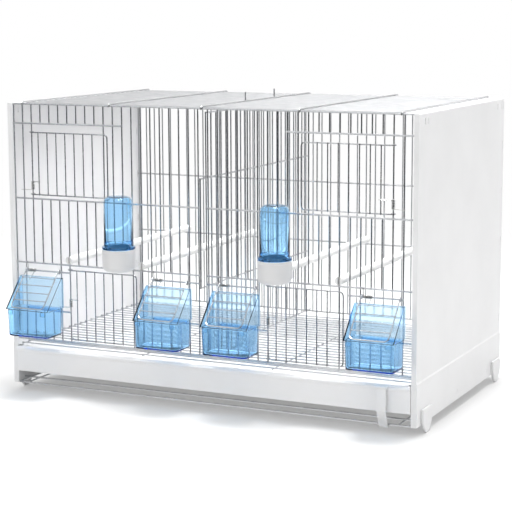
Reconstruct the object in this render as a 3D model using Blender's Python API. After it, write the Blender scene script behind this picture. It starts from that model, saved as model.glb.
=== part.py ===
"""Double breeding cage for small birds, in metres, +Z up, front towards -Y."""

import math

import bmesh
import bpy
from mathutils import Matrix, Vector

# Driving dimensions of the wire fronts
PITCH = 0.014
UPRIGHTS = 42
UPRIGHT_RADIUS = 0.0010
CROSS_RADIUS = 0.0012
WELD_DEPTH = 0.0003
GAP = 0.0003
END_OVERRUN = 0.0008
CUT_OVERRUN = 0.002
HALF_GAP = 0.0003

# Heights of the cross wires above the floor
RAIL_Z = 0.396
HEADER_DROP = 0.026
MID_DROP = 0.1275
LOW_Z = 0.1805
ROD_Z = 0.170
SILL_Z = 0.116
BOTTOM_Z = 0.074

# Depth of the cage and its side panels
BACK_Y = 0.338
PANEL_SIDE_ROOM = 0.006
PANEL_WALL = 0.0025
PANEL_BOTTOM_Z = 0.012
PANEL_TOP_RISE = 0.001
PANEL_END_GAP = 0.0004
PANEL_FLANGE = 0.0065
PANEL_TOP_FLANGE = 0.0215
PANEL_STEP_Z = 0.068
PANEL_STEP = 0.0010
PANEL_STEP_RISE = 0.002
PANEL_CORNER = 0.0015
LEDGE_THICK = 0.002
GRILLE_LEDGE = 0.0085
TRAY_LEDGE = 0.0145
TRAY_LEDGE_Z = 0.0287
LEDGE_SETBACK = 0.003
WALL_CLEARANCE = 0.001

# Vents and slots in the side panels
TOP_SLOTS_Y = (0.016, 0.027, 0.314, 0.329)
TOP_SLOT_SIZE = (0.003, 0.008)
TOP_SLOT_DROP = 0.0105
REAR_SLOTS_DROP = (0.011, 0.064, 0.129, 0.198, 0.309)
REAR_SLOT_Y = 0.3385
REAR_SLOT_SIZE = (0.002, 0.010)
STRIP_SLOTS_Y = (0.0415, 0.152, 0.280)
STRIP_SLOT_SIZE = (0.0016, 0.0065)
STRIP_SLOT_Z = 0.0230

# Feet
FOOT_THICK = 0.0035
FOOT_TOP_Z = 0.032
FOOT_KNEE_Z = 0.012
FOOT_WIDTH = 0.034
FOOT_TIP = 0.010
FOOT_MIDS_Y = (0.026, 0.318)

# Base frame under the tray
BASE_RADIUS = 0.0012
BASE_Z = 0.0115
BASE_RAILS_Y = (0.0, 0.338)
BASE_TOP_RAILS_Y = (0.015, 0.323)
BASE_RUNNER_INSETS = (0.0225, 0.0085)
BASE_RUNNER_OVERRUN = 0.002

# Roof
ROOF_RADIUS = 0.0010
ROOF_RUNNER_RADIUS = 0.0011
ROOF_WIRES = 24
ROOF_RUNNER_INSET = 0.023
ROOF_MID_RUNNER_SHIFT = 0.001
ROOF_MARGIN = 0.008
ROOF_END_OVERRUN = 0.0008
ROOF_CLIP_DROP = 0.0015
PEG_HEIGHT = 0.012
PEGS_Y = (0.125, 0.217)

# Floor grille
GRILLE_RADIUS = 0.0010
GRILLE_WIRES = 23
GRILLE_RUNNER_INSET = 0.008
GRILLE_FRONT_Y = 0.004
GRILLE_TOP_Z = 0.0675

# Divider
DIVIDER_RADIUS = 0.0010
DIVIDER_CROSS_RADIUS = 0.0011
DIVIDER_WIRES = 23
DIVIDER_FRONT_Y = 0.008
DIVIDER_BACK_Y = 0.327
DIVIDER_TOP_DROP = 0.0055
DIVIDER_BARS_Z = (0.166, 0.307)
DIVIDER_HANDLE_Y = -0.012
DIVIDER_SEAT_OVERRUN = 0.0015

# Doors
DOOR_RADIUS = 0.0009
DOOR_BAR_RADIUS = 0.0008
DOOR_EYE_GAP = 0.0005
DOOR_STAND_OFF = 0.0046
DOOR_JOG = 0.006
DOOR_CORNER = 0.005
UPPER_DOOR_RISE = 0.005
UPPER_DOOR_DROP = 0.011
LOWER_DOOR_Z = (0.0785, 0.1750)
DOOR_OVERLAP = 0.008

# Feeders
FEEDER_WIDTH = 0.066
FEEDER_FRONT_Y = -0.0455
FEEDER_REAR_Y = -0.0037
FEEDER_BOTTOM_Z = 0.086
FEEDER_TOP_Z = 0.122
FEEDER_WALL = 0.0018
FEEDER_CORNER = 0.008
FEEDER_TAPER = 0.001
FEEDER_LIP_WIDTH = 0.050
FEEDER_LIP_REACH = 0.0015
FEEDER_LIP_THICK = 0.0018
HOOD_WALL = 0.0014
HOOD_TOP_Z = 0.163
HOOD_TOP_Y = -0.0085
HOOD_REAR_Y = -0.0045

# Feeder flaps
FLAP_RADIUS = 0.0009
FLAP_BAR_RADIUS = 0.0007
FLAP_EYE_GAP = 0.0004
FLAP_HALF_WIDTH = 0.0255
FLAP_LENGTH = 0.062
FLAP_FIRST_BAR = 0.014
FLAP_BARS = 4
FLAP_CORNER = 0.006
FLAP_ANGLE = math.radians(41.7)

# Torsion springs
SPRING_RADIUS = 0.00045
COIL_RADIUS = 0.0020
COIL_PITCH = 0.0036
COIL_TURNS = 3
COIL_POINTS = 8
FLAP_SPRING_START = 0.0030
SPRING_ARM = 0.017
SPRING_UP_ARM = 0.0125
DOOR_SPRING_ARM = 0.0165
DOOR_SPRING_LEG = 0.0165
DOOR_SPRING_LEG_LIFT = 0.0033

# Drinkers
DRINKER_Y = -0.0252
CUP_RADIUS = 0.02175
CUP_BASE_RADIUS = 0.0175
CUP_ROUND = 0.004
CUP_TOP_Z = 0.212
CUP_FLOOR = 0.0025
CUP_WALL = 0.0018
SPOUT_WIDTH = 0.009
SPOUT_CHANNEL = 0.006
SPOUT_REACH_Y = 0.020
SPOUT_HEIGHT = 0.009
SPOUT_WALL = 0.0015
TUBE_RADIUS_LOW = 0.0193
TUBE_RADIUS_HIGH = 0.0186
TUBE_NECK_RADIUS = 0.0170
TUBE_NECK = 0.008
TUBE_FLANGE = 0.003
TUBE_WALL = 0.0015
TUBE_TOP_Z = 0.281
TUBE_SHOULDER = 0.008
TURNED_SIDES = 12

# Perches
PERCH_RADIUS = 0.00525
PERCH_SIDES = 10
PERCH_PRONG = 0.0030
NOTCH_WIDTH = 0.0028
NOTCH_DEPTH = 0.0045

# Tray
TRAY_SIDE_GAP = 0.0115
TRAY_TAPER = 0.002
TRAY_RIM = 0.0025
TRAY_RIM_HEIGHT = 0.003
TRAY_TOP_Z = 0.0634
TRAY_WALL = 0.002
TRAY_FRONT_Y = -0.0060
TRAY_BACK_Y = 0.333
TRAY_PLATE_GAP = 0.0005
TRAY_PLATE = 0.002
TRAY_LIP = 0.0025
TRAY_LIP_HEIGHT = 0.0064
TRAY_LIFT = 0.0004

# Tray latch
LATCH_INSET = 0.043
LATCH_WIDTH = 0.012
LATCH_THICK = 0.0018
LATCH_KNEE_Z = 0.030
LATCH_TOE = 0.006
LATCH_KNUCKLE = 0.0022
LATCH_SIDES = 10

# Wire counts that place the doors, feeders, drinkers and perches
HALF_UPRIGHTS = UPRIGHTS // 2
FEEDER_GAPS = ((1, 5), (15, 19))
LOWER_DOOR_GAP = (6, 13)
UPPER_DOOR_GAP = (2, 10)
HEADER_LAST = 12
SILLS = ((0, 6), (14, 20))
RODS = ((1, 6), (15, 20))
DRINKER_GAPS = (12, 28)
PERCH_WIRES = (6, 14, 27, 34)

# Sizes worked out from the ones above
TURN = 2 * math.pi
PANEL_OUTER_X = (UPRIGHTS - 1) / 2 * PITCH + PANEL_SIDE_ROOM
BASE_RUNNERS_X = tuple(PANEL_OUTER_X - inset for inset in BASE_RUNNER_INSETS)
ROOF_END_X = PANEL_OUTER_X - ROOF_RUNNER_INSET
ROOF_MID_X = ROOF_END_X / 2 + ROOF_MID_RUNNER_SHIFT
ROOF_RUNNERS_X = (-ROOF_END_X, -ROOF_MID_X, 0, ROOF_MID_X, ROOF_END_X)
GRILLE_END_X = PANEL_OUTER_X - GRILLE_RUNNER_INSET
GRILLE_RUNNERS_X = (-GRILLE_END_X, -GRILLE_END_X / 3, GRILLE_END_X / 3, GRILLE_END_X)
LATCH_X = PANEL_OUTER_X - LATCH_INSET
EYE_STEP = math.radians(45)
EYE_STEPS = 6
CORNER_STEPS = 3
WIRE_SIDES = 4
FAR_WIRE_SIDES = 3
CROSS_OFFSET = UPRIGHT_RADIUS + CROSS_RADIUS - WELD_DEPTH
CROSS_Y = -CROSS_OFFSET
HEADER_Z = RAIL_Z - HEADER_DROP
MID_Z = RAIL_Z - MID_DROP
UPPER_DOOR_Z = (MID_Z + UPPER_DOOR_RISE, HEADER_Z - UPPER_DOOR_DROP)
PANEL_TOP_Z = RAIL_Z + PANEL_TOP_RISE
TOP_SLOT_Z = PANEL_TOP_Z - TOP_SLOT_DROP
DIVIDER_TOP_Z = RAIL_Z - DIVIDER_TOP_DROP
BACK_CROSS_Y = BACK_Y + CROSS_OFFSET
PANEL_INNER_X = PANEL_OUTER_X - PANEL_WALL
PANEL_FRONT_Y = CROSS_Y - CROSS_RADIUS - PANEL_END_GAP
PANEL_REAR_Y = BACK_CROSS_Y + CROSS_RADIUS + PANEL_END_GAP
WIRE_END_X = PANEL_INNER_X - WALL_CLEARANCE
TRAY_HALF = PANEL_INNER_X - TRAY_SIDE_GAP
TRAY_PLATE_HALF = PANEL_OUTER_X - PANEL_FLANGE - TRAY_PLATE_GAP
GRILLE_RUNNER_Z = GRILLE_TOP_Z - 3 * GRILLE_RADIUS + WELD_DEPTH
GRILLE_LEDGE_Z = GRILLE_RUNNER_Z - GRILLE_RADIUS - GAP
BASE_RUNNER_Z = BASE_Z + 2 * BASE_RADIUS - WELD_DEPTH
BASE_TOP_Z = BASE_RUNNER_Z + 2 * BASE_RADIUS - WELD_DEPTH
DOOR_EYE_RADIUS = UPRIGHT_RADIUS + DOOR_EYE_GAP + DOOR_RADIUS
FLAP_EYE_RADIUS = CROSS_RADIUS + FLAP_EYE_GAP + FLAP_RADIUS
FLAP_FACE = FLAP_EYE_RADIUS + FLAP_RADIUS + 2 * FLAP_BAR_RADIUS - WELD_DEPTH
DOOR_FACE = DOOR_STAND_OFF + DOOR_RADIUS + 2 * DOOR_BAR_RADIUS - WELD_DEPTH
ARM_SEAT = SPRING_RADIUS + 2 * GAP
SPOUT_Z = LOW_Z + CROSS_RADIUS + GAP
CUP_BOTTOM_Z = SPOUT_Z + GAP
PERCH_Z = LOW_Z + CROSS_RADIUS + GAP + PERCH_RADIUS
DIVIDER_BOTTOM_Z = BOTTOM_Z + CROSS_RADIUS + GAP + DIVIDER_CROSS_RADIUS
ROOF_RUNNER_Z = RAIL_Z + CROSS_RADIUS + GAP + ROOF_RUNNER_RADIUS
CAGE_MIDDLE_Y = 0.5 * (PANEL_REAR_Y + PANEL_WALL + DRINKER_Y - CUP_RADIUS)

STEEL = ("zinc_wire", (0.42, 0.43, 0.45), 0.35, 1.0, 1.0)
SPRING_STEEL = ("spring_wire", (0.62, 0.62, 0.60), 0.35, 1.0, 1.0)
WHITE = ("white_plastic", (0.86, 0.86, 0.86), 0.45, 0.0, 1.0)
GREY_WHITE = ("pale_plastic", (0.82, 0.82, 0.83), 0.5, 0.0, 1.0)
BLUE = ("clear_blue_plastic", (0.16, 0.46, 0.86), 0.15, 0.0, 0.55)
PERCH_WHITE = ("perch_plastic", (0.88, 0.88, 0.87), 0.5, 0.0, 1.0)


def clear_scene():
    """Remove whatever the scene starts with."""
    for old in list(bpy.data.objects):
        bpy.data.objects.remove(old)


def wire_x(index):
    """Place across the cage of upright number index, counted from the left."""
    return (index - (UPRIGHTS - 1) / 2) * PITCH


def make_material(look):
    """One Principled material for each look, made once."""
    name, colour, roughness, metallic, alpha = look
    if name in bpy.data.materials:
        return bpy.data.materials[name]
    material = bpy.data.materials.new(name)
    material.use_nodes = True
    shader = material.node_tree.nodes["Principled BSDF"]
    shader.inputs["Base Color"].default_value = (*colour, 1.0)
    shader.inputs["Roughness"].default_value = roughness
    shader.inputs["Metallic"].default_value = metallic
    shader.inputs["Alpha"].default_value = alpha
    material.diffuse_color = (*colour, alpha)
    return material


def add_object(name, data, pivot, cage):
    """Put data into the scene with its origin on pivot, under the cage's empty."""
    piece = bpy.data.objects.new(name, data)
    bpy.context.scene.collection.objects.link(piece)
    piece.parent = cage
    piece.location = pivot
    return piece


def mesh_from(bm, name, pivot):
    """Turn a bmesh into a mesh whose points are counted from pivot."""
    bmesh.ops.recalc_face_normals(bm, faces=bm.faces)
    bmesh.ops.translate(bm, verts=bm.verts, vec=-Vector(pivot))
    mesh = bpy.data.meshes.new(name)
    bm.to_mesh(mesh)
    bm.free()
    return mesh


def add_piece(cage, name, bm, look, pivot=(0, 0, 0)):
    """One named solid with its own copy of a look."""
    mesh = mesh_from(bm, name, pivot)
    mesh.materials.append(make_material(look))
    mesh.shade_smooth()
    mesh.set_sharp_from_angle(angle=math.radians(40))
    return add_object(name, mesh, pivot, cage)


def shape(piece, bm, operation, step):
    """Join or cut a piece with a second shape that is itself left out."""
    name = f"{piece.name}_{step}"
    tool = add_object(name, mesh_from(bm, name, (0, 0, 0)), (0, 0, 0), piece.parent)
    tool.hide_render = True
    tool.display_type = "WIRE"
    boolean = piece.modifiers.new(step, "BOOLEAN")
    boolean.operation = operation
    boolean.solver = "EXACT"
    boolean.object = tool


def sweep(bm, points, radius, corner_towards, sides=WIRE_SIDES):
    """A closed wire along points, with mitred bends and flat ends."""
    points = [Vector(point) for point in points]
    steps = [(end - start).normalized() for start, end in zip(points, points[1:])]
    across = Vector(corner_towards)
    across = (across - steps[0] * across.dot(steps[0])).normalized()
    over = steps[0].cross(across)
    ring = []
    for corner in range(sides):
        angle = TURN * corner / sides
        ring.append(points[0] + radius * (across * math.cos(angle) + over * math.sin(angle)))
    rings = [ring]
    for index, step in enumerate(steps):
        after = steps[min(index + 1, len(steps) - 1)]
        normal = (step + after).normalized()
        centre = points[index + 1]
        ring = [at + step * ((centre - at).dot(normal) / step.dot(normal)) for at in ring]
        rings.append(ring)
    loops = [[bm.verts.new(at) for at in ring] for ring in rings]
    for low, high in zip(loops, loops[1:]):
        for corner in range(sides):
            after = (corner + 1) % sides
            bm.faces.new((low[corner], low[after], high[after], high[corner]))
    bm.faces.new(reversed(loops[0]))
    bm.faces.new(loops[-1])


def box(bm, low, high):
    """A box between two corners."""
    size = Vector(high) - Vector(low)
    middle = (Vector(high) + Vector(low)) / 2
    matrix = Matrix.Translation(middle) @ Matrix.Diagonal((*size, 1))
    bmesh.ops.create_cube(bm, size=1, matrix=matrix)


def prism(bm, outline, place, start, end):
    """Extrude a closed outline of pairs; place turns a pair and a depth into a point."""
    near = [bm.verts.new(place(*pair, start)) for pair in outline]
    far = [bm.verts.new(place(*pair, end)) for pair in outline]
    count = len(outline)
    for index in range(count):
        after = (index + 1) % count
        bm.faces.new((near[index], near[after], far[after], far[index]))
    bm.faces.new(reversed(near))
    bm.faces.new(far)


def along_x(y, z, x):
    """Place an outline drawn across the depth, seen from the side."""
    return (x, y, z)


def along_y(x, z, y):
    """Place an outline drawn across the width, seen from the front."""
    return (x, y, z)


def loft(bm, low_outline, low_z, high_outline, high_z):
    """A closed solid between two level outlines with as many points each."""
    low = [bm.verts.new((x, y, low_z)) for x, y in low_outline]
    high = [bm.verts.new((x, y, high_z)) for x, y in high_outline]
    count = len(low)
    for index in range(count):
        after = (index + 1) % count
        bm.faces.new((low[index], low[after], high[after], high[index]))
    bm.faces.new(reversed(low))
    bm.faces.new(high)


def rectangle(left, right, front, rear):
    """Corner points of a level rectangle."""
    return [(left, front), (right, front), (right, rear), (left, rear)]


def rounded_rectangle(left, right, front, rear, radius):
    """A level rectangle whose corners are arcs."""
    corners = [(right - radius, rear - radius), (left + radius, rear - radius),
               (left + radius, front + radius), (right - radius, front + radius)]
    points = []
    for quarter, (x, y) in enumerate(corners):
        for step in range(CORNER_STEPS + 1):
            angle = TURN / 4 * (quarter + step / CORNER_STEPS)
            points.append((x + radius * math.cos(angle), y + radius * math.sin(angle)))
    return points


def revolve(bm, profile, centre_x, centre_y, sides=TURNED_SIDES):
    """Turn a closed profile of (radius, height) pairs about an upright axis."""
    rings = []
    for radius, height in profile:
        if radius == 0:
            rings.append([bm.verts.new((centre_x, centre_y, height))] * sides)
            continue
        ring = []
        for side in range(sides):
            angle = TURN * side / sides
            x = centre_x + radius * math.cos(angle)
            y = centre_y + radius * math.sin(angle)
            ring.append(bm.verts.new((x, y, height)))
        rings.append(ring)
    for index, low in enumerate(rings):
        high = rings[(index + 1) % len(rings)]
        for side in range(sides):
            after = (side + 1) % sides
            face = [low[side], low[after], high[after], high[side]]
            corners = [vert for place, vert in enumerate(face) if vert not in face[:place]]
            if len(corners) > 2:
                bm.faces.new(corners)


def joined_spans(spans):
    """Merge spans of height that touch."""
    merged = []
    for low, high in sorted(spans):
        if merged and merged[-1][1] >= low:
            merged[-1][1] = max(merged[-1][1], high)
        else:
            merged.append([low, high])
    return merged


def upright_spans(index, mirrored):
    """Heights between which one upright of a front half runs."""
    spans = []
    if any(first < index < last for first, last in FEEDER_GAPS):
        spans.append((BOTTOM_Z, SILL_Z))
    elif not LOWER_DOOR_GAP[0] < index < LOWER_DOOR_GAP[1]:
        spans.append((BOTTOM_Z, LOW_Z))
    counted = HALF_UPRIGHTS - 1 - index if mirrored else index
    if UPPER_DOOR_GAP[0] < counted < UPPER_DOOR_GAP[1]:
        spans.append((LOW_Z, MID_Z))
        spans.append((HEADER_Z, RAIL_Z))
    else:
        spans.append((LOW_Z, RAIL_Z))
    return joined_spans(spans)


def upright(bm, x, y, low, high, radius, towards, sides=WIRE_SIDES):
    """A straight vertical wire that runs a little past the wires it is welded to."""
    sweep(bm, [(x, y, low - END_OVERRUN), (x, y, high + END_OVERRUN)], radius, towards, sides)


def cross_wire(bm, x_low, x_high, y, z, radius=CROSS_RADIUS):
    """A straight wire across the width."""
    sweep(bm, [(x_low, y, z), (x_high, y, z)], radius, (0, 1, 0))


def make_front_half(cage, name, first, mirrored):
    """Half of the front: uprights, with the cross wires welded on outside."""
    uprights = bmesh.new()
    for index in range(HALF_UPRIGHTS):
        for low, high in upright_spans(index, mirrored):
            upright(uprights, wire_x(first + index), 0, low, high, UPRIGHT_RADIUS, (0, 1, 0))
    piece = add_piece(cage, name, uprights, STEEL)
    side = 1 if mirrored else -1
    wires = bmesh.new()
    for z in (RAIL_Z, BOTTOM_Z):
        ends = sorted((side * WIRE_END_X, side * HALF_GAP))
        cross_wire(wires, *ends, CROSS_Y, z)
    inner_end = wire_x(first + (0 if mirrored else HALF_UPRIGHTS - 1)) - side * END_OVERRUN
    for z in (MID_Z, LOW_Z):
        cross_wire(wires, *sorted((side * WIRE_END_X, inner_end)), CROSS_Y, z)
    for low, high in SILLS:
        ends = (wire_x(first + low) - END_OVERRUN, wire_x(first + high) + END_OVERRUN)
        cross_wire(wires, *ends, CROSS_Y, SILL_Z)
    for low, high, z in ((*RODS[0], ROD_Z), (*RODS[1], ROD_Z), (0, HEADER_LAST, HEADER_Z)):
        if mirrored:
            low, high = HALF_UPRIGHTS - 1 - high, HALF_UPRIGHTS - 1 - low
        ends = (wire_x(first + low) - END_OVERRUN, wire_x(first + high) + END_OVERRUN)
        cross_wire(wires, *ends, CROSS_Y, z)
    shape(piece, wires, "UNION", "cross_wires")


def make_back(cage):
    """The back grille, with its cross wires outside."""
    uprights = bmesh.new()
    for index in range(UPRIGHTS):
        upright(uprights, wire_x(index), BACK_Y, BOTTOM_Z, RAIL_Z, UPRIGHT_RADIUS, (0, 1, 0),
                FAR_WIRE_SIDES)
    piece = add_piece(cage, "back_grid", uprights, STEEL)
    wires = bmesh.new()
    for z in (RAIL_Z, MID_Z, LOW_Z, BOTTOM_Z):
        cross_wire(wires, -WIRE_END_X, WIRE_END_X, BACK_CROSS_Y, z)
    shape(piece, wires, "UNION", "cross_wires")


def roof_clip(side, rail_y):
    """The bent end of a roof runner, over and down outside a rail."""
    reach = CROSS_RADIUS + GAP + ROOF_RUNNER_RADIUS
    points = []
    for step in range(CORNER_STEPS + 1):
        angle = TURN / 4 * step / CORNER_STEPS
        points.append((rail_y + side * reach * math.sin(angle), RAIL_Z + reach * math.cos(angle)))
    points.append((rail_y + side * reach, RAIL_Z - ROOF_CLIP_DROP))
    return points


def make_roof(cage):
    """The lift-off roof grille, runners clipped on the rails over close wires, and two pegs."""
    runners = bmesh.new()
    for x in ROOF_RUNNERS_X:
        ends = list(reversed(roof_clip(-1, CROSS_Y))) + roof_clip(1, BACK_CROSS_Y)
        sweep(runners, [(x, y, z) for y, z in ends], ROOF_RUNNER_RADIUS, (1, 0, 0))
    piece = add_piece(cage, "roof_grid", runners, STEEL)
    wires = bmesh.new()
    wire_z = ROOF_RUNNER_Z - ROOF_RUNNER_RADIUS - ROOF_RADIUS + WELD_DEPTH
    end_x = ROOF_RUNNERS_X[-1] + ROOF_END_OVERRUN
    spacing = (BACK_Y - 2 * ROOF_MARGIN) / (ROOF_WIRES - 1)
    for index in range(ROOF_WIRES):
        y = ROOF_MARGIN + index * spacing
        ends = [(-end_x, y, wire_z), (end_x, y, wire_z)]
        sweep(wires, ends, ROOF_RADIUS, (0, 0, 1), FAR_WIRE_SIDES)
    shape(piece, wires, "UNION", "cross_wires")
    foot_z = ROOF_RUNNER_Z + ROOF_RUNNER_RADIUS + GAP
    for number, y in enumerate(PEGS_Y, 1):
        peg = bmesh.new()
        sweep(peg, [(0, y, foot_z), (0, y, ROOF_RUNNER_Z + PEG_HEIGHT)], ROOF_RADIUS, (0, 1, 0))
        add_piece(cage, f"roof_peg_{number}", peg, STEEL)


def make_floor_grille(cage):
    """The grille that slides out over the tray."""
    wires = bmesh.new()
    rear_y = BACK_Y - GRILLE_FRONT_Y
    spacing = (rear_y - GRILLE_FRONT_Y) / (GRILLE_WIRES - 1)
    end_x = GRILLE_RUNNERS_X[-1] + END_OVERRUN
    wire_z = GRILLE_TOP_Z - GRILLE_RADIUS
    for index in range(GRILLE_WIRES):
        y = GRILLE_FRONT_Y + index * spacing
        sweep(wires, [(-end_x, y, wire_z), (end_x, y, wire_z)], GRILLE_RADIUS, (0, 0, 1))
    pivot = (0, GRILLE_FRONT_Y, wire_z)
    piece = add_piece(cage, "floor_grille", wires, STEEL, pivot)
    runners = bmesh.new()
    for x in GRILLE_RUNNERS_X:
        front_end = (x, GRILLE_FRONT_Y - END_OVERRUN, GRILLE_RUNNER_Z)
        ends = [front_end, (x, rear_y + END_OVERRUN, GRILLE_RUNNER_Z)]
        sweep(runners, ends, GRILLE_RADIUS, (0, 0, 1))
    shape(piece, runners, "UNION", "runners")


def make_divider(cage):
    """The sliding partition, with two bars drawn out through the front as a handle."""
    wires = bmesh.new()
    spacing = (DIVIDER_BACK_Y - DIVIDER_FRONT_Y) / (DIVIDER_WIRES - 1)
    for index in range(DIVIDER_WIRES):
        y = DIVIDER_FRONT_Y + index * spacing
        upright(wires, 0, y, DIVIDER_BOTTOM_Z, DIVIDER_TOP_Z, DIVIDER_RADIUS, (1, 0, 0),
                FAR_WIRE_SIDES)
    piece = add_piece(cage, "divider", wires, STEEL, (0, DIVIDER_FRONT_Y, DIVIDER_BOTTOM_Z))
    bars = bmesh.new()
    x = DIVIDER_RADIUS + DIVIDER_CROSS_RADIUS - WELD_DEPTH
    front, rear = DIVIDER_FRONT_Y - END_OVERRUN, DIVIDER_BACK_Y + END_OVERRUN
    sweep(bars, [(x, front, DIVIDER_TOP_Z), (x, rear, DIVIDER_TOP_Z)], DIVIDER_CROSS_RADIUS, (1, 0, 0))
    seat_front = CROSS_Y - DIVIDER_SEAT_OVERRUN
    seat_rear = BACK_CROSS_Y + DIVIDER_SEAT_OVERRUN
    seat = [(x, seat_front, DIVIDER_BOTTOM_Z), (x, seat_rear, DIVIDER_BOTTOM_Z)]
    sweep(bars, seat, DIVIDER_CROSS_RADIUS, (1, 0, 0))
    low, high = DIVIDER_BARS_Z
    handle = [(x, rear, low), (x, DIVIDER_HANDLE_Y, low), (x, DIVIDER_HANDLE_Y, high), (x, rear, high)]
    sweep(bars, handle, DIVIDER_CROSS_RADIUS, (1, 0, 0))
    shape(piece, bars, "UNION", "bars")


def make_base_frame(cage):
    """The wire frame under the tray, held between the side panels."""
    runners = bmesh.new()
    front = BASE_RAILS_Y[0] - BASE_RUNNER_OVERRUN
    rear = BASE_RAILS_Y[-1] + BASE_RUNNER_OVERRUN
    for place in BASE_RUNNERS_X:
        for x in (-place, place):
            ends = [(x, front, BASE_RUNNER_Z), (x, rear, BASE_RUNNER_Z)]
            sweep(runners, ends, BASE_RADIUS, (0, 0, 1))
    piece = add_piece(cage, "base_frame", runners, STEEL)
    rails = bmesh.new()
    end_x = PANEL_INNER_X - GAP
    for y in BASE_RAILS_Y:
        sweep(rails, [(-end_x, y, BASE_Z), (end_x, y, BASE_Z)], BASE_RADIUS, (0, 0, 1))
    for y in BASE_TOP_RAILS_Y:
        sweep(rails, [(-end_x, y, BASE_TOP_Z), (end_x, y, BASE_TOP_Z)], BASE_RADIUS, (0, 0, 1))
    shape(piece, rails, "UNION", "rails")


def panel_section():
    """Section of a side wall: a shallow step low down and an eased top corner."""
    outer, inner = PANEL_OUTER_X, PANEL_INNER_X
    points = [(inner, PANEL_BOTTOM_Z), (outer + PANEL_STEP, PANEL_BOTTOM_Z),
              (outer + PANEL_STEP, PANEL_STEP_Z - PANEL_STEP_RISE), (outer, PANEL_STEP_Z)]
    for step in range(CORNER_STEPS + 1):
        angle = TURN / 4 * step / CORNER_STEPS
        x = outer - PANEL_CORNER * (1 - math.cos(angle))
        points.append((x, PANEL_TOP_Z - PANEL_CORNER * (1 - math.sin(angle))))
    points.append((inner, PANEL_TOP_Z))
    return points


def make_panel(cage, name, side):
    """A moulded side wall with flanges that hold the grilles and ledges for the tray."""
    wall = bmesh.new()
    outline = [(side * x, z) for x, z in panel_section()]
    front = PANEL_FRONT_Y - PANEL_WALL
    rear = PANEL_REAR_Y + PANEL_WALL
    prism(wall, outline, along_y, front, rear)
    piece = add_piece(cage, name, wall, WHITE)
    ribs = bmesh.new()
    inside = PANEL_OUTER_X - PANEL_WALL / 2
    flange_x = PANEL_OUTER_X - PANEL_FLANGE

    def rib(x_low, x_high, y_low, y_high, z_low, z_high):
        box(ribs, (min(side * x_low, side * x_high), y_low, z_low),
            (max(side * x_low, side * x_high), y_high, z_high))

    rib(flange_x, inside, front, PANEL_FRONT_Y, PANEL_BOTTOM_Z, PANEL_TOP_Z)
    rib(flange_x, inside, PANEL_REAR_Y, rear, PANEL_BOTTOM_Z, PANEL_TOP_Z)
    top_y = (UPRIGHT_RADIUS + GAP, BACK_Y - UPRIGHT_RADIUS - GAP)
    rib(PANEL_OUTER_X - PANEL_TOP_FLANGE, inside, *top_y, PANEL_TOP_Z - PANEL_WALL, PANEL_TOP_Z)
    ledge_y = (LEDGE_SETBACK, BACK_Y - LEDGE_SETBACK)
    rib(PANEL_INNER_X - GRILLE_LEDGE, inside, *ledge_y, GRILLE_LEDGE_Z - LEDGE_THICK, GRILLE_LEDGE_Z)
    rib(PANEL_INNER_X - TRAY_LEDGE, inside, *ledge_y, TRAY_LEDGE_Z - LEDGE_THICK, TRAY_LEDGE_Z)
    shape(piece, ribs, "UNION", "ribs")
    slots = bmesh.new()
    x_low = PANEL_INNER_X - CUT_OVERRUN
    x_high = PANEL_OUTER_X + PANEL_STEP + CUT_OVERRUN

    def slot(y, z, size):
        box(slots, (min(side * x_low, side * x_high), y - size[0] / 2, z - size[1] / 2),
            (max(side * x_low, side * x_high), y + size[0] / 2, z + size[1] / 2))

    for y in TOP_SLOTS_Y:
        slot(y, TOP_SLOT_Z, TOP_SLOT_SIZE)
    for drop in REAR_SLOTS_DROP:
        slot(REAR_SLOT_Y, PANEL_TOP_Z - drop, REAR_SLOT_SIZE)
    for y in STRIP_SLOTS_Y:
        slot(y, STRIP_SLOT_Z, STRIP_SLOT_SIZE)
    shape(piece, slots, "DIFFERENCE", "slots")


def make_foot(cage, name, side, mid_y):
    """A flat pointed foot outside a lower corner of a side wall."""
    foot = bmesh.new()
    half, tip = FOOT_WIDTH / 2, FOOT_TIP / 2
    outline = [(mid_y - tip, 0), (mid_y + tip, 0), (mid_y + half, FOOT_KNEE_Z),
               (mid_y + half, FOOT_TOP_Z), (mid_y - half, FOOT_TOP_Z), (mid_y - half, FOOT_KNEE_Z)]
    near = side * (PANEL_OUTER_X + PANEL_STEP + GAP)
    prism(foot, outline, along_x, near, near + side * FOOT_THICK)
    add_piece(cage, name, foot, WHITE)


def eye_points(radius, start, onward):
    """Points of a three-quarter eye about an axis, from start turning towards onward."""
    points = []
    for step in range(EYE_STEPS + 1):
        angle = step * EYE_STEP
        points.append(radius * (start * math.cos(angle) + onward * math.sin(angle)))
    return points


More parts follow.
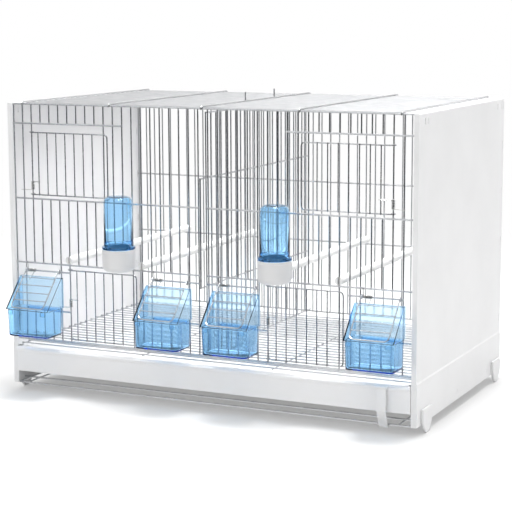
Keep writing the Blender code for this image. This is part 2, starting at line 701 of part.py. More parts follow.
def make_door(cage, name, hinge_index, free_x, heights, bars):
    """A wire door with eyes on a front upright; its bars lie outside its frame."""
    hinge_x = wire_x(hinge_index)
    side = math.copysign(1, free_x - hinge_x)
    outward, sideways = Vector((0, -1, 0)), Vector((-side, 0, 0))
    eye = eye_points(DOOR_EYE_RADIUS, outward, sideways)
    low, high = heights[0] + DOOR_RADIUS, heights[1] - DOOR_RADIUS
    low_hinge, high_hinge = Vector((hinge_x, 0, low)), Vector((hinge_x, 0, high))
    jog_x, stand_y = hinge_x + side * DOOR_JOG, -DOOR_STAND_OFF
    points = [low_hinge + point for point in reversed(eye)]
    points.append(Vector((jog_x, stand_y, low)))
    for corner_z, turn in ((low, 1), (high, -1)):
        arc = []
        for step in range(CORNER_STEPS + 1):
            angle = TURN / 4 * step / CORNER_STEPS
            x = free_x - side * DOOR_CORNER * (1 - math.sin(angle))
            arc.append(Vector((x, stand_y, corner_z + turn * DOOR_CORNER * (1 - math.cos(angle)))))
        points.extend(arc if turn > 0 else reversed(arc))
    points.append(Vector((jog_x, stand_y, high)))
    points.extend(high_hinge + point for point in eye)
    frame = bmesh.new()
    sweep(frame, points, DOOR_RADIUS, (0, 0, 1))
    piece = add_piece(cage, name, frame, STEEL, (hinge_x, 0, low))
    wires = bmesh.new()
    bar_y = stand_y - DOOR_RADIUS - DOOR_BAR_RADIUS + WELD_DEPTH
    for index in bars:
        ends = [(wire_x(index), bar_y, low - END_OVERRUN), (wire_x(index), bar_y, high + END_OVERRUN)]
        sweep(wires, ends, DOOR_BAR_RADIUS, (0, 1, 0))
    shape(piece, wires, "UNION", "bars")


def make_feeder(cage, number, mid_x):
    """An open trough that hangs by its rear lip over the sill wire."""
    half = FEEDER_WIDTH / 2
    outer_top = rounded_rectangle(mid_x - half, mid_x + half, FEEDER_FRONT_Y, FEEDER_REAR_Y, FEEDER_CORNER)
    draft, wall = FEEDER_TAPER, FEEDER_WALL
    outer_low = rounded_rectangle(mid_x - half + draft, mid_x + half - draft,
                                  FEEDER_FRONT_Y + draft, FEEDER_REAR_Y - draft, FEEDER_CORNER - draft)
    inner_top = rounded_rectangle(mid_x - half + wall, mid_x + half - wall,
                                  FEEDER_FRONT_Y + wall, FEEDER_REAR_Y - wall, FEEDER_CORNER - wall)
    inner_low = rounded_rectangle(mid_x - half + wall + draft, mid_x + half - wall - draft,
                                  FEEDER_FRONT_Y + wall + draft, FEEDER_REAR_Y - wall - draft,
                                  FEEDER_CORNER - wall - draft)
    trough = bmesh.new()
    loft(trough, outer_low, FEEDER_BOTTOM_Z, outer_top, FEEDER_TOP_Z)
    piece = add_piece(cage, f"feeder_{number}_trough", trough, BLUE, (mid_x, FEEDER_FRONT_Y, FEEDER_BOTTOM_Z))
    lip = bmesh.new()
    lip_z = SILL_Z + CROSS_RADIUS + GAP
    box(lip, (mid_x - FEEDER_LIP_WIDTH / 2, FEEDER_REAR_Y - wall / 2, lip_z),
        (mid_x + FEEDER_LIP_WIDTH / 2, FEEDER_LIP_REACH, lip_z + FEEDER_LIP_THICK))
    shape(piece, lip, "UNION", "lip")
    hollow = bmesh.new()
    loft(hollow, inner_low, FEEDER_BOTTOM_Z + wall, inner_top, FEEDER_TOP_Z + CUT_OVERRUN)
    shape(piece, hollow, "DIFFERENCE", "hollow")


def make_hood(cage, number, mid_x):
    """The slanted clear cover on a trough, open behind and below."""
    half, wall = FEEDER_WIDTH / 2, HOOD_WALL
    low_z = FEEDER_TOP_Z + GAP
    slope = (HOOD_TOP_Y - FEEDER_FRONT_Y) / (HOOD_TOP_Z - low_z)
    outline = [(HOOD_REAR_Y, low_z), (FEEDER_FRONT_Y, low_z),
               (HOOD_TOP_Y, HOOD_TOP_Z), (HOOD_REAR_Y, HOOD_TOP_Z)]
    hood = bmesh.new()
    prism(hood, outline, along_x, mid_x - half, mid_x + half)
    piece = add_piece(cage, f"feeder_{number}_hood", hood, BLUE, (mid_x, FEEDER_FRONT_Y, low_z))
    slant = wall * math.hypot(1, slope)
    under_z, inner_top = low_z - CUT_OVERRUN, HOOD_TOP_Z - wall
    inner = [(HOOD_REAR_Y + CUT_OVERRUN, under_z),
             (FEEDER_FRONT_Y + slant - slope * CUT_OVERRUN, under_z),
             (HOOD_TOP_Y + slant - slope * wall, inner_top),
             (HOOD_REAR_Y + CUT_OVERRUN, inner_top)]
    hollow = bmesh.new()
    prism(hollow, inner, along_x, mid_x - half + wall, mid_x + half - wall)
    shape(piece, hollow, "DIFFERENCE", "hollow")


def slope_frame():
    """Directions down and out of a hanging flap."""
    down = Vector((0, -math.sin(FLAP_ANGLE), -math.cos(FLAP_ANGLE)))
    out = Vector((0, -math.cos(FLAP_ANGLE), math.sin(FLAP_ANGLE)))
    return down, out


def make_flap(cage, number, mid_x):
    """The wire flap that hangs on its rod and keeps a feeder in."""
    down, out = slope_frame()
    hinge = Vector((mid_x, CROSS_Y, ROD_Z))
    face = hinge + out * FLAP_EYE_RADIUS
    left, right = Vector((-FLAP_HALF_WIDTH, 0, 0)), Vector((FLAP_HALF_WIDTH, 0, 0))
    eye = eye_points(FLAP_EYE_RADIUS, out, -down)
    points = [hinge + left + point for point in reversed(eye)]
    for edge, turn in ((left, 1), (right, -1)):
        arc = []
        for step in range(CORNER_STEPS + 1):
            angle = TURN / 4 * step / CORNER_STEPS
            inward = Vector((turn * FLAP_CORNER * (1 - math.cos(angle)), 0, 0))
            arc.append(face + edge + inward + down * (FLAP_LENGTH - FLAP_CORNER * (1 - math.sin(angle))))
        points.extend(arc if turn > 0 else reversed(arc))
    points.extend(hinge + right + point for point in eye)
    frame = bmesh.new()
    sweep(frame, points, FLAP_RADIUS, out)
    piece = add_piece(cage, f"feeder_flap_{number}", frame, STEEL, hinge)
    bars = bmesh.new()
    bar_out = out * (FLAP_RADIUS + FLAP_BAR_RADIUS - WELD_DEPTH)
    spacing = (FLAP_LENGTH - FLAP_FIRST_BAR) / FLAP_BARS
    overrun = Vector((END_OVERRUN, 0, 0))
    for index in range(FLAP_BARS):
        centre = face + bar_out + down * (FLAP_FIRST_BAR + index * spacing)
        sweep(bars, [centre + left - overrun, centre + right + overrun], FLAP_BAR_RADIUS, out)
    shape(piece, bars, "UNION", "bars")


def least_gap(points, radius):
    """Least clear distance between parts of a wire that are over a half turn apart."""
    apart = COIL_POINTS // 2 + 1
    least = min((a - b).length for i, a in enumerate(points) for b in points[i + apart:])
    return least - 2 * radius


def make_spring(cage, name, points):
    """One unbroken round wire along points."""
    curve = bpy.data.curves.new(name, "CURVE")
    curve.dimensions = "3D"
    curve.bevel_depth = SPRING_RADIUS
    curve.bevel_resolution = 1
    curve.use_fill_caps = True
    spline = curve.splines.new("POLY")
    spline.points.add(len(points) - 1)
    for point, at in zip(spline.points, points):
        point.co = (*at, 1)
    curve.materials.append(make_material(SPRING_STEEL))
    add_object(name, curve, (0, 0, 0), cage)
    print(name, "least gap to itself, mm:", round(1000 * least_gap(points, SPRING_RADIUS), 3))


def coil(centre, axis, start, onward):
    """Points of a close coil that advances along axis from centre."""
    points = []
    for index in range(COIL_TURNS * COIL_POINTS + 1):
        angle = TURN * index / COIL_POINTS
        around = start * math.cos(angle) + onward * math.sin(angle)
        points.append(centre + COIL_RADIUS * around + axis * (COIL_PITCH * index / COIL_POINTS))
    return points


def make_flap_spring(cage, number, mid_x):
    """A torsion spring on a flap's rod: one arm up the front, one down the flap."""
    down, out = slope_frame()
    axis = Vector((1, 0, 0))
    hinge = Vector((mid_x - FLAP_HALF_WIDTH + FLAP_SPRING_START, CROSS_Y, ROD_Z))
    front, up = Vector((0, -1, 0)), Vector((0, 0, 1))
    turns = coil(hinge, axis, front, -up)
    arm_up = turns[0] + up * SPRING_UP_ARM + front * SPRING_RADIUS - axis * COIL_PITCH / 2
    arm_down = turns[-1] + axis * COIL_PITCH / 2 + down * SPRING_ARM
    rise = (FLAP_FACE + ARM_SEAT - COIL_RADIUS) * SPRING_ARM / (FLAP_FIRST_BAR - FLAP_BAR_RADIUS)
    arm_down += out * (rise + COIL_RADIUS * (1 - out.dot(front)))
    make_spring(cage, f"flap_spring_{number}", [arm_up] + turns + [arm_down])


def make_door_spring(cage, name, hinge_index, side, low_z):
    """A torsion spring on a door's hinge upright: a leg on the front, an arm on the door."""
    hinge = Vector((wire_x(hinge_index), 0, low_z))
    front, across, up = Vector((0, -1, 0)), Vector((side, 0, 0)), Vector((0, 0, 1))
    turns = coil(hinge, up, front, across)
    leg = turns[0] - across * DOOR_SPRING_LEG - up * COIL_PITCH / 2
    leg += front * (DOOR_SPRING_LEG_LIFT - COIL_RADIUS)
    arm = turns[-1] + across * DOOR_SPRING_ARM + up * COIL_PITCH / 2
    arm += front * (DOOR_FACE + ARM_SEAT - COIL_RADIUS) * DOOR_SPRING_ARM / (PITCH - DOOR_BAR_RADIUS)
    make_spring(cage, name, [leg] + turns + [arm])


def make_cup(cage, name, mid_x):
    """A drinker's cup with a narrow open spout that passes between two uprights."""
    base, top, round_off = CUP_BASE_RADIUS, CUP_TOP_Z, CUP_ROUND
    profile = [(0, CUP_BOTTOM_Z), (base - round_off, CUP_BOTTOM_Z), (base, CUP_BOTTOM_Z + round_off / 2),
               (CUP_RADIUS, CUP_BOTTOM_Z + 2 * round_off), (CUP_RADIUS, top), (CUP_RADIUS - CUP_WALL, top),
               (CUP_RADIUS - CUP_WALL, CUP_BOTTOM_Z + 2 * round_off + CUP_FLOOR),
               (base - CUP_WALL, CUP_BOTTOM_Z + CUP_FLOOR + round_off / 2),
               (base - round_off, CUP_BOTTOM_Z + CUP_FLOOR), (0, CUP_BOTTOM_Z + CUP_FLOOR)]
    cup = bmesh.new()
    revolve(cup, profile, mid_x, DRINKER_Y)
    piece = add_piece(cage, name, cup, WHITE, (mid_x, DRINKER_Y, CUP_BOTTOM_Z))
    spout = bmesh.new()
    box(spout, (mid_x - SPOUT_WIDTH / 2, DRINKER_Y + base / 2, SPOUT_Z),
        (mid_x + SPOUT_WIDTH / 2, SPOUT_REACH_Y, SPOUT_Z + SPOUT_HEIGHT))
    shape(piece, spout, "UNION", "spout")
    channel = bmesh.new()
    floor_z = CUP_BOTTOM_Z + CUP_FLOOR
    box(channel, (mid_x - SPOUT_CHANNEL / 2, DRINKER_Y, floor_z),
        (mid_x + SPOUT_CHANNEL / 2, SPOUT_REACH_Y - SPOUT_WALL, SPOUT_Z + SPOUT_HEIGHT + GAP))
    shape(piece, channel, "DIFFERENCE", "channel")


def make_tube(cage, name, mid_x):
    """The clear reservoir that stands in a cup, open below."""
    rest = CUP_TOP_Z + GAP
    flange_top = rest + TUBE_FLANGE
    shoulder_z = TUBE_TOP_Z - TUBE_SHOULDER
    outer = [(TUBE_NECK_RADIUS, rest - TUBE_NECK), (TUBE_NECK_RADIUS, rest), (CUP_RADIUS, rest),
             (CUP_RADIUS, flange_top), (TUBE_RADIUS_LOW, flange_top)]
    inner = []
    for step in range(CORNER_STEPS + 1):
        angle = TURN / 4 * step / CORNER_STEPS
        rise, turn = math.sin(angle), 1 - math.cos(angle)
        outer.append((TUBE_RADIUS_HIGH - TUBE_SHOULDER * turn, shoulder_z + TUBE_SHOULDER * rise))
        inner_round = TUBE_SHOULDER - TUBE_WALL
        inner.append((TUBE_RADIUS_HIGH - TUBE_WALL - inner_round * turn, shoulder_z + inner_round * rise))
    outer.append((0, TUBE_TOP_Z))
    inner.append((0, TUBE_TOP_Z - TUBE_WALL))
    inner.reverse()
    neck = TUBE_NECK_RADIUS - TUBE_WALL
    inner += [(TUBE_RADIUS_LOW - TUBE_WALL, flange_top), (neck, rest), (neck, rest - TUBE_NECK)]
    tube = bmesh.new()
    revolve(tube, outer + inner, mid_x, DRINKER_Y)
    add_piece(cage, name, tube, BLUE, (mid_x, DRINKER_Y, rest))


def make_perch(cage, number, index):
    """A round perch, notched at both ends over an upright and seated on the low wires."""
    x = wire_x(index)
    front, rear = CROSS_Y - PERCH_PRONG / 2, BACK_CROSS_Y + PERCH_PRONG / 2
    rod = bmesh.new()
    sweep(rod, [(x, front, PERCH_Z), (x, rear, PERCH_Z)], PERCH_RADIUS, (0, 0, 1), PERCH_SIDES)
    piece = add_piece(cage, f"perch_{number}", rod, PERCH_WHITE)
    notches = bmesh.new()
    low_z, high_z = PERCH_Z - PERCH_RADIUS - CUT_OVERRUN, PERCH_Z + PERCH_RADIUS + CUT_OVERRUN
    for start, end in ((front - CUT_OVERRUN, front + NOTCH_DEPTH), (rear - NOTCH_DEPTH, rear + CUT_OVERRUN)):
        box(notches, (x - NOTCH_WIDTH / 2, start, low_z), (x + NOTCH_WIDTH / 2, end, high_z))
    shape(piece, notches, "DIFFERENCE", "notches")


def make_tray(cage):
    """The drawer tray: a drafted shell with a rim, a wide front plate and a rolled lip."""
    low_z = TRAY_LEDGE_Z + TRAY_LIFT
    half, draft, wall, rim = TRAY_HALF, TRAY_TAPER, TRAY_WALL, TRAY_RIM
    body = bmesh.new()
    loft(body, rectangle(-half + draft, half - draft, TRAY_FRONT_Y, TRAY_BACK_Y - draft), low_z,
         rectangle(-half, half, TRAY_FRONT_Y, TRAY_BACK_Y), TRAY_TOP_Z)
    piece = add_piece(cage, "tray", body, GREY_WHITE, (0, TRAY_FRONT_Y, low_z))
    edge = bmesh.new()
    box(edge, (-half - rim, TRAY_FRONT_Y + wall, TRAY_TOP_Z - TRAY_RIM_HEIGHT),
        (half + rim, TRAY_BACK_Y + rim, TRAY_TOP_Z))
    shape(piece, edge, "UNION", "rim")
    plate = bmesh.new()
    front = TRAY_FRONT_Y - TRAY_PLATE
    lip_front = front - TRAY_LIP
    lip_low = TRAY_TOP_Z - TRAY_LIP_HEIGHT
    outline = [(TRAY_FRONT_Y + wall / 2, low_z), (TRAY_FRONT_Y + wall / 2, TRAY_TOP_Z),
               (front, TRAY_TOP_Z), (lip_front, TRAY_TOP_Z - TRAY_LIP), (lip_front, lip_low + TRAY_LIP / 2),
               (front, lip_low), (front, low_z)]
    prism(plate, outline, along_x, -TRAY_PLATE_HALF, TRAY_PLATE_HALF)
    shape(piece, plate, "UNION", "front_plate")
    hollow = bmesh.new()
    loft(hollow,
         rectangle(-half + draft + wall, half - draft - wall,
                   TRAY_FRONT_Y + wall, TRAY_BACK_Y - draft - wall),
         low_z + wall,
         rectangle(-half + wall, half - wall, TRAY_FRONT_Y + wall, TRAY_BACK_Y - wall),
         TRAY_TOP_Z + CUT_OVERRUN)
    shape(piece, hollow, "DIFFERENCE", "hollow")


def make_latch(cage):
    """The sprung clip on the tray's lip; its toe reaches under the base frame."""
    lip_front = TRAY_FRONT_Y - TRAY_PLATE - TRAY_LIP
    back_y = lip_front - GAP
    front_y = back_y - LATCH_THICK
    toe_top = BASE_Z - BASE_RADIUS - GAP
    toe_low = toe_top - LATCH_THICK
    toe_back = BASE_RAILS_Y[0] - BASE_RADIUS - 2 * GAP
    hinge_z = TRAY_TOP_Z - TRAY_LIP
    toe_end = BASE_RAILS_Y[0] + LATCH_TOE / 2
    outline = [(front_y, hinge_z), (front_y, LATCH_KNEE_Z), (toe_back - LATCH_THICK, toe_low),
               (toe_end, toe_low), (toe_end, toe_top), (toe_back, toe_top),
               (back_y, LATCH_KNEE_Z), (back_y, hinge_z)]
    clip = bmesh.new()
    prism(clip, outline, along_x, LATCH_X - LATCH_WIDTH / 2, LATCH_X + LATCH_WIDTH / 2)
    centre_y = back_y - LATCH_KNUCKLE
    piece = add_piece(cage, "tray_latch", clip, GREY_WHITE, (LATCH_X, centre_y, hinge_z))
    knuckle = bmesh.new()
    half = LATCH_WIDTH / 2 + LATCH_KNUCKLE
    ends = [(LATCH_X - half, centre_y, hinge_z), (LATCH_X + half, centre_y, hinge_z)]
    sweep(knuckle, ends, LATCH_KNUCKLE, (0, 0, 1), LATCH_SIDES)
    shape(piece, knuckle, "UNION", "knuckle")


def make_cage():
    """Build every piece under one empty that centres the cage on the origin."""
    cage = bpy.data.objects.new("cage_centre", None)
    bpy.context.scene.collection.objects.link(cage)
    cage.location = (0, -CAGE_MIDDLE_Y, 0)
    right_first = HALF_UPRIGHTS
    make_front_half(cage, "front_left_grid", 0, False)
    make_front_half(cage, "front_right_grid", right_first, True)
    make_back(cage)
    make_roof(cage)
    make_floor_grille(cage)
    make_divider(cage)
    make_base_frame(cage)
    for side, word in ((-1, "left"), (1, "right")):
        make_panel(cage, f"{word}_side_panel", side)
        for place, mid_y in zip(("front", "rear"), FOOT_MIDS_Y):
            make_foot(cage, f"foot_{place}_{word}", side, mid_y)
    first, last = UPPER_DOOR_GAP
    mirror = UPRIGHTS - 1
    left_free = wire_x(last) + DOOR_OVERLAP
    make_door(cage, "upper_left_door", first, left_free, UPPER_DOOR_Z, range(first + 1, last))
    make_door(cage, "upper_right_door", mirror - first, -left_free, UPPER_DOOR_Z,
              range(mirror - last + 1, mirror - first))
    first, last = LOWER_DOOR_GAP
    for word, offset in (("left", 0), ("right", right_first)):
        free_x = wire_x(offset + last) + DOOR_OVERLAP - WALL_CLEARANCE
        make_door(cage, f"lower_{word}_door", offset + first, free_x, LOWER_DOOR_Z,
                  range(offset + first + 1, offset + last))
    gaps = [(low + offset, high + offset) for offset in (0, right_first) for low, high in FEEDER_GAPS]
    for number, (low, high) in enumerate(gaps, 1):
        mid_x = (wire_x(low) + wire_x(high)) / 2
        make_feeder(cage, number, mid_x)
        make_hood(cage, number, mid_x)
        make_flap(cage, number, mid_x)
        make_flap_spring(cage, number, mid_x)
    springs = (("upper_left", UPPER_DOOR_GAP[0], 1, UPPER_DOOR_Z[0]),
               ("upper_right", mirror - UPPER_DOOR_GAP[0], -1, UPPER_DOOR_Z[0]),
               ("lower_left", LOWER_DOOR_GAP[0], 1, SILL_Z),
               ("lower_right", LOWER_DOOR_GAP[0] + right_first, 1, SILL_Z))
    for word, index, side, low_z in springs:
        make_door_spring(cage, f"{word}_door_spring", index, side, low_z + 2 * COIL_PITCH)
    for word, index in zip(("left", "right"), DRINKER_GAPS):
        mid_x = wire_x(index) + PITCH / 2
        make_cup(cage, f"{word}_drinker_cup", mid_x)
        make_tube(cage, f"{word}_drinker_tube", mid_x)
    for number, index in enumerate(PERCH_WIRES, 1):
        make_perch(cage, number, index)
    make_tray(cage)
    make_latch(cage)


clear_scene()
make_cage()
bpy.context.view_layer.update()
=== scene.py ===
"""Breeding cage for small birds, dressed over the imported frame, in metres."""

import math

import bmesh
import bpy
from mathutils import Matrix, Vector


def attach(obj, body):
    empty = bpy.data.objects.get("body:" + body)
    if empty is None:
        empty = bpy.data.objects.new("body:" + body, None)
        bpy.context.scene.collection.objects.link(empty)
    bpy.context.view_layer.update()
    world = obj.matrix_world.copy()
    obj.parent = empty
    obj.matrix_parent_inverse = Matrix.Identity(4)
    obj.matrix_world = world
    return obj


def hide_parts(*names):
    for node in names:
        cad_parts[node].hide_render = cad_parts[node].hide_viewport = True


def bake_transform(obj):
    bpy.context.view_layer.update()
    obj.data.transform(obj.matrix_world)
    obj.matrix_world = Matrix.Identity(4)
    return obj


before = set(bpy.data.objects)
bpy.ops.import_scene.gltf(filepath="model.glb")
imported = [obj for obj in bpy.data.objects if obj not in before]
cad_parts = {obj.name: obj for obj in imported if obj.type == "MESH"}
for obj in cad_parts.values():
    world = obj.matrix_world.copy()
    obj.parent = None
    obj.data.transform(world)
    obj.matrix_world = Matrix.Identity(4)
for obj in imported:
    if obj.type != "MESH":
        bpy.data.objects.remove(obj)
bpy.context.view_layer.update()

# Driving dimensions of the wire fronts
PITCH = 0.014
UPRIGHTS = 42
UPRIGHT_RADIUS = 0.0010
CROSS_RADIUS = 0.0012
WELD_DEPTH = 0.0003
GAP = 0.0003
END_OVERRUN = 0.0008
CUT_OVERRUN = 0.002
HALF_GAP = 0.0003

# Heights of the cross wires above the floor
RAIL_Z = 0.396
HEADER_DROP = 0.026
MID_Z = 0.2685
LOW_Z = 0.1805
ROD_Z = 0.170
SILL_Z = 0.116
BOTTOM_Z = 0.074

# Depth of the cage and its side panels
BACK_Y = 0.338
PANEL_OUTER_X = 0.293
PANEL_WALL = 0.0025
PANEL_TOP_Z = 0.397
PANEL_END_GAP = 0.0004
PANEL_STEP = 0.0010
WALL_CLEARANCE = 0.001

# Feet
FOOT_THICK = 0.0035
FOOT_TOP_Z = 0.032
FOOT_KNEE_Z = 0.012
FOOT_WIDTH = 0.034
FOOT_TIP = 0.010
FOOT_MIDS_Y = (0.026, 0.318)

# Base frame under the tray
BASE_RADIUS = 0.0012
BASE_Z = 0.0115
BASE_RAILS_Y = (0.0, 0.338)
BASE_TOP_RAILS_Y = (0.015, 0.323)
BASE_RUNNERS_X = (0.2705, 0.2845)
BASE_RUNNER_OVERRUN = 0.002

# Roof
ROOF_RADIUS = 0.0010
ROOF_RUNNER_RADIUS = 0.0011
ROOF_WIRES = 24
ROOF_RUNNERS_X = (-0.270, -0.136, 0.0, 0.136, 0.270)
ROOF_END_OVERRUN = 0.0008
ROOF_CLIP_DROP = 0.0015
PEG_HEIGHT = 0.012
PEGS_Y = (0.125, 0.217)

# Floor grille
GRILLE_RADIUS = 0.0010
GRILLE_WIRES = 23
GRILLE_RUNNERS_X = (-0.285, -0.095, 0.095, 0.285)
GRILLE_FRONT_Y = 0.004
GRILLE_TOP_Z = 0.0675

# Divider
DIVIDER_RADIUS = 0.0010
DIVIDER_CROSS_RADIUS = 0.0011
DIVIDER_WIRES = 23
DIVIDER_FRONT_Y = 0.008
DIVIDER_BACK_Y = 0.327
DIVIDER_TOP_Z = 0.3905
DIVIDER_BARS_Z = (0.166, 0.307)
DIVIDER_HANDLE_Y = -0.012
DIVIDER_SEAT_OVERRUN = 0.0015

# Doors
DOOR_RADIUS = 0.0009
DOOR_BAR_RADIUS = 0.0008
DOOR_EYE_GAP = 0.0005
DOOR_STAND_OFF = 0.0046
DOOR_JOG = 0.006
DOOR_CORNER = 0.005
UPPER_DOOR_LOW_Z = 0.2735
UPPER_DOOR_DROP = 0.011
LOWER_DOOR_Z = (0.0785, 0.1750)
DOOR_OVERLAP = 0.008

# Feeders
FEEDER_WIDTH = 0.066
FEEDER_FRONT_Y = -0.0455
FEEDER_REAR_Y = -0.0037
FEEDER_BOTTOM_Z = 0.086
FEEDER_TOP_Z = 0.122
FEEDER_WALL = 0.0018
FEEDER_CORNER = 0.008
FEEDER_TAPER = 0.001
FEEDER_LIP_WIDTH = 0.050
FEEDER_LIP_REACH = 0.0015
FEEDER_LIP_THICK = 0.0018

# Feeder flaps
FLAP_RADIUS = 0.0009
FLAP_BAR_RADIUS = 0.0007
FLAP_EYE_GAP = 0.0004
FLAP_HALF_WIDTH = 0.0255
FLAP_LENGTH = 0.062
FLAP_FIRST_BAR = 0.014
FLAP_BARS = 4
FLAP_CORNER = 0.006
FLAP_ANGLE = math.radians(41.7)

# Torsion springs
SPRING_RADIUS = 0.00045
COIL_RADIUS = 0.0020
COIL_PITCH = 0.0012
COIL_TURNS = 9
COIL_POINTS = 12
SPRING_SIDES = 6
FLAP_SPRING_START = 0.0030
SPRING_ARM = 0.017
SPRING_UP_ARM = 0.0125
DOOR_SPRING_ARM = 0.0165
DOOR_SPRING_LEG = 0.0165
DOOR_SPRING_LEG_LIFT = 0.0033
DOOR_SPRING_RISE = 0.0072

# Drinkers
DRINKER_Y = -0.0252
CUP_RADIUS = 0.02175
CUP_BASE_RADIUS = 0.0175
CUP_ROUND = 0.004
CUP_TOP_Z = 0.212
CUP_FLOOR = 0.0025
CUP_WALL = 0.0018
SPOUT_WIDTH = 0.009
SPOUT_CHANNEL = 0.006
SPOUT_REACH_Y = 0.020
SPOUT_HEIGHT = 0.009
SPOUT_WALL = 0.0015
TUBE_RADIUS_LOW = 0.0193
TUBE_RADIUS_HIGH = 0.0186
TUBE_NECK_RADIUS = 0.0170
TUBE_NECK = 0.008
TUBE_FLANGE = 0.003
TUBE_WALL = 0.0015
TUBE_TOP_Z = 0.281
TUBE_SHOULDER = 0.008
TURNED_SIDES = 64

# Perches
PERCH_RADIUS = 0.00525
PERCH_SIDES = 24
PERCH_PRONG = 0.0030
NOTCH_WIDTH = 0.0028
NOTCH_DEPTH = 0.0045

# Wire counts that place the doors, feeders, drinkers and perches
HALF_UPRIGHTS = UPRIGHTS // 2
LAST_UPRIGHT = UPRIGHTS - 1
FEEDER_GAPS = ((1, 5), (15, 19))
LOWER_DOOR_GAP = (6, 13)
UPPER_DOOR_GAP = (2, 10)
HEADER_LAST = 12
SILLS = ((0, 6), (14, 20))
RODS = ((1, 6), (15, 20))
DRINKER_GAPS = (12, 28)
PERCH_WIRES = (6, 14, 27, 34)

# Sizes worked out from the ones above
TURN = 2 * math.pi
EYE_STEP = math.radians(22.5)
EYE_STEPS = 12
CORNER_STEPS = 6
WIRE_SIDES = 8
CROSS_OFFSET = UPRIGHT_RADIUS + CROSS_RADIUS - WELD_DEPTH
CROSS_Y = -CROSS_OFFSET
HEADER_Z = RAIL_Z - HEADER_DROP
UPPER_DOOR_Z = (UPPER_DOOR_LOW_Z, HEADER_Z - UPPER_DOOR_DROP)
BACK_CROSS_Y = BACK_Y + CROSS_OFFSET
PANEL_INNER_X = PANEL_OUTER_X - PANEL_WALL
PANEL_REAR_Y = BACK_CROSS_Y + CROSS_RADIUS + PANEL_END_GAP
WIRE_END_X = PANEL_INNER_X - WALL_CLEARANCE
GRILLE_RUNNER_Z = GRILLE_TOP_Z - 3 * GRILLE_RADIUS + WELD_DEPTH
BASE_RUNNER_Z = BASE_Z + 2 * BASE_RADIUS - WELD_DEPTH
BASE_TOP_Z = BASE_RUNNER_Z + 2 * BASE_RADIUS - WELD_DEPTH
DOOR_EYE_RADIUS = UPRIGHT_RADIUS + DOOR_EYE_GAP + DOOR_RADIUS
FLAP_EYE_RADIUS = CROSS_RADIUS + FLAP_EYE_GAP + FLAP_RADIUS
FLAP_FACE = FLAP_EYE_RADIUS + FLAP_RADIUS + 2 * FLAP_BAR_RADIUS - WELD_DEPTH
DOOR_FACE = DOOR_STAND_OFF + DOOR_RADIUS + 2 * DOOR_BAR_RADIUS - WELD_DEPTH
ARM_SEAT = SPRING_RADIUS + 2 * GAP
SPOUT_Z = LOW_Z + CROSS_RADIUS + GAP
CUP_BOTTOM_Z = SPOUT_Z + GAP
PERCH_Z = LOW_Z + CROSS_RADIUS + GAP + PERCH_RADIUS
DIVIDER_BOTTOM_Z = BOTTOM_Z + CROSS_RADIUS + GAP + DIVIDER_CROSS_RADIUS
ROOF_RUNNER_Z = RAIL_Z + CROSS_RADIUS + GAP + ROOF_RUNNER_RADIUS
CAGE_MIDDLE_Y = 0.5 * (PANEL_REAR_Y + PANEL_WALL + DRINKER_Y - CUP_RADIUS)

# Finish of the visual pieces
SMOOTH_ANGLE = math.radians(40)
MOULD_EDGE = 0.0005
MOULD_SEGMENTS = 2
RIM_LINE_DROP = 0.003
RIM_LINE_DEPTH = 0.0003
EDGE_ROUND = 0.0006
LUG_WIDTH = 0.007
LUG_HEIGHT = 0.006
LUG_DEPTH = 0.0022
LUG_PROUD = 0.0008
LUG_INSET = 0.004
FOOT_SHOULDER = 0.009
FOOT_EDGE = 0.001
FOOT_SEGMENTS = 3

# Textures: waves per metre, detail and stretch
WIRE_DRIFT = (60, 3)
WIRE_GRAIN = (1500, 4)
MOULD_DRIFT = (14, 3)
MOULD_FLOW = (90, 2, (1, 1, 0.25))
MOULD_GRAIN = (1800, 3)
CLEAR_DRIFT = (30, 2)
CLEAR_FLOW = (160, 2, (1, 1, 0.3))
FLOOR_DRIFT = (3, 3)
NOISE_RANGE = (0.3, 0.7)
TINT_RANGE = (0.35, 0.65)

# Strength and height of the bumps
WIRE_BUMPS = (0.15, 0.00005)
MOULD_BUMPS = 0.2
CLEAR_BUMPS = (0.12, 0.0002)

# Metals: dark and light tone, least and most roughness
METALS = {
    "zinc_wire": ((0.54, 0.55, 0.57), (0.62, 0.63, 0.65), 0.2, 0.34),
    "dull_zinc_wire": ((0.53, 0.54, 0.55), (0.60, 0.60, 0.61), 0.36, 0.5),
    "spring_wire": ((0.64, 0.64, 0.63), (0.72, 0.72, 0.70), 0.16, 0.3),
}

# Moulded plastics: the same as metals, then the height of their grain
MOULDINGS = {
    "white_plastic": ((0.83, 0.83, 0.835), (0.86, 0.86, 0.865), 0.34, 0.46, 0.00003),
    # The cups' finish is the white plastic made darker: painted shade on the cups
    "shaded_cup_plastic": ((0.73, 0.73, 0.735), (0.76, 0.76, 0.765), 0.34, 0.46, 0.00003),
    "pale_plastic": ((0.87, 0.87, 0.875), (0.89, 0.89, 0.895), 0.38, 0.52, 0.00004),
    "perch_plastic": ((0.84, 0.84, 0.83), (0.87, 0.87, 0.86), 0.42, 0.55, 0.00005),
}

# Clear plastic: the same as metals, then the colour and density of its body
CLEAR_BLUE = ((0.71, 0.88, 1.0), (0.75, 0.905, 1.0), 0.03, 0.09, (0.09, 0.63, 0.985), 120.0)

# Refraction
MOULD_IOR = 1.49
CLEAR_IOR = 1.3

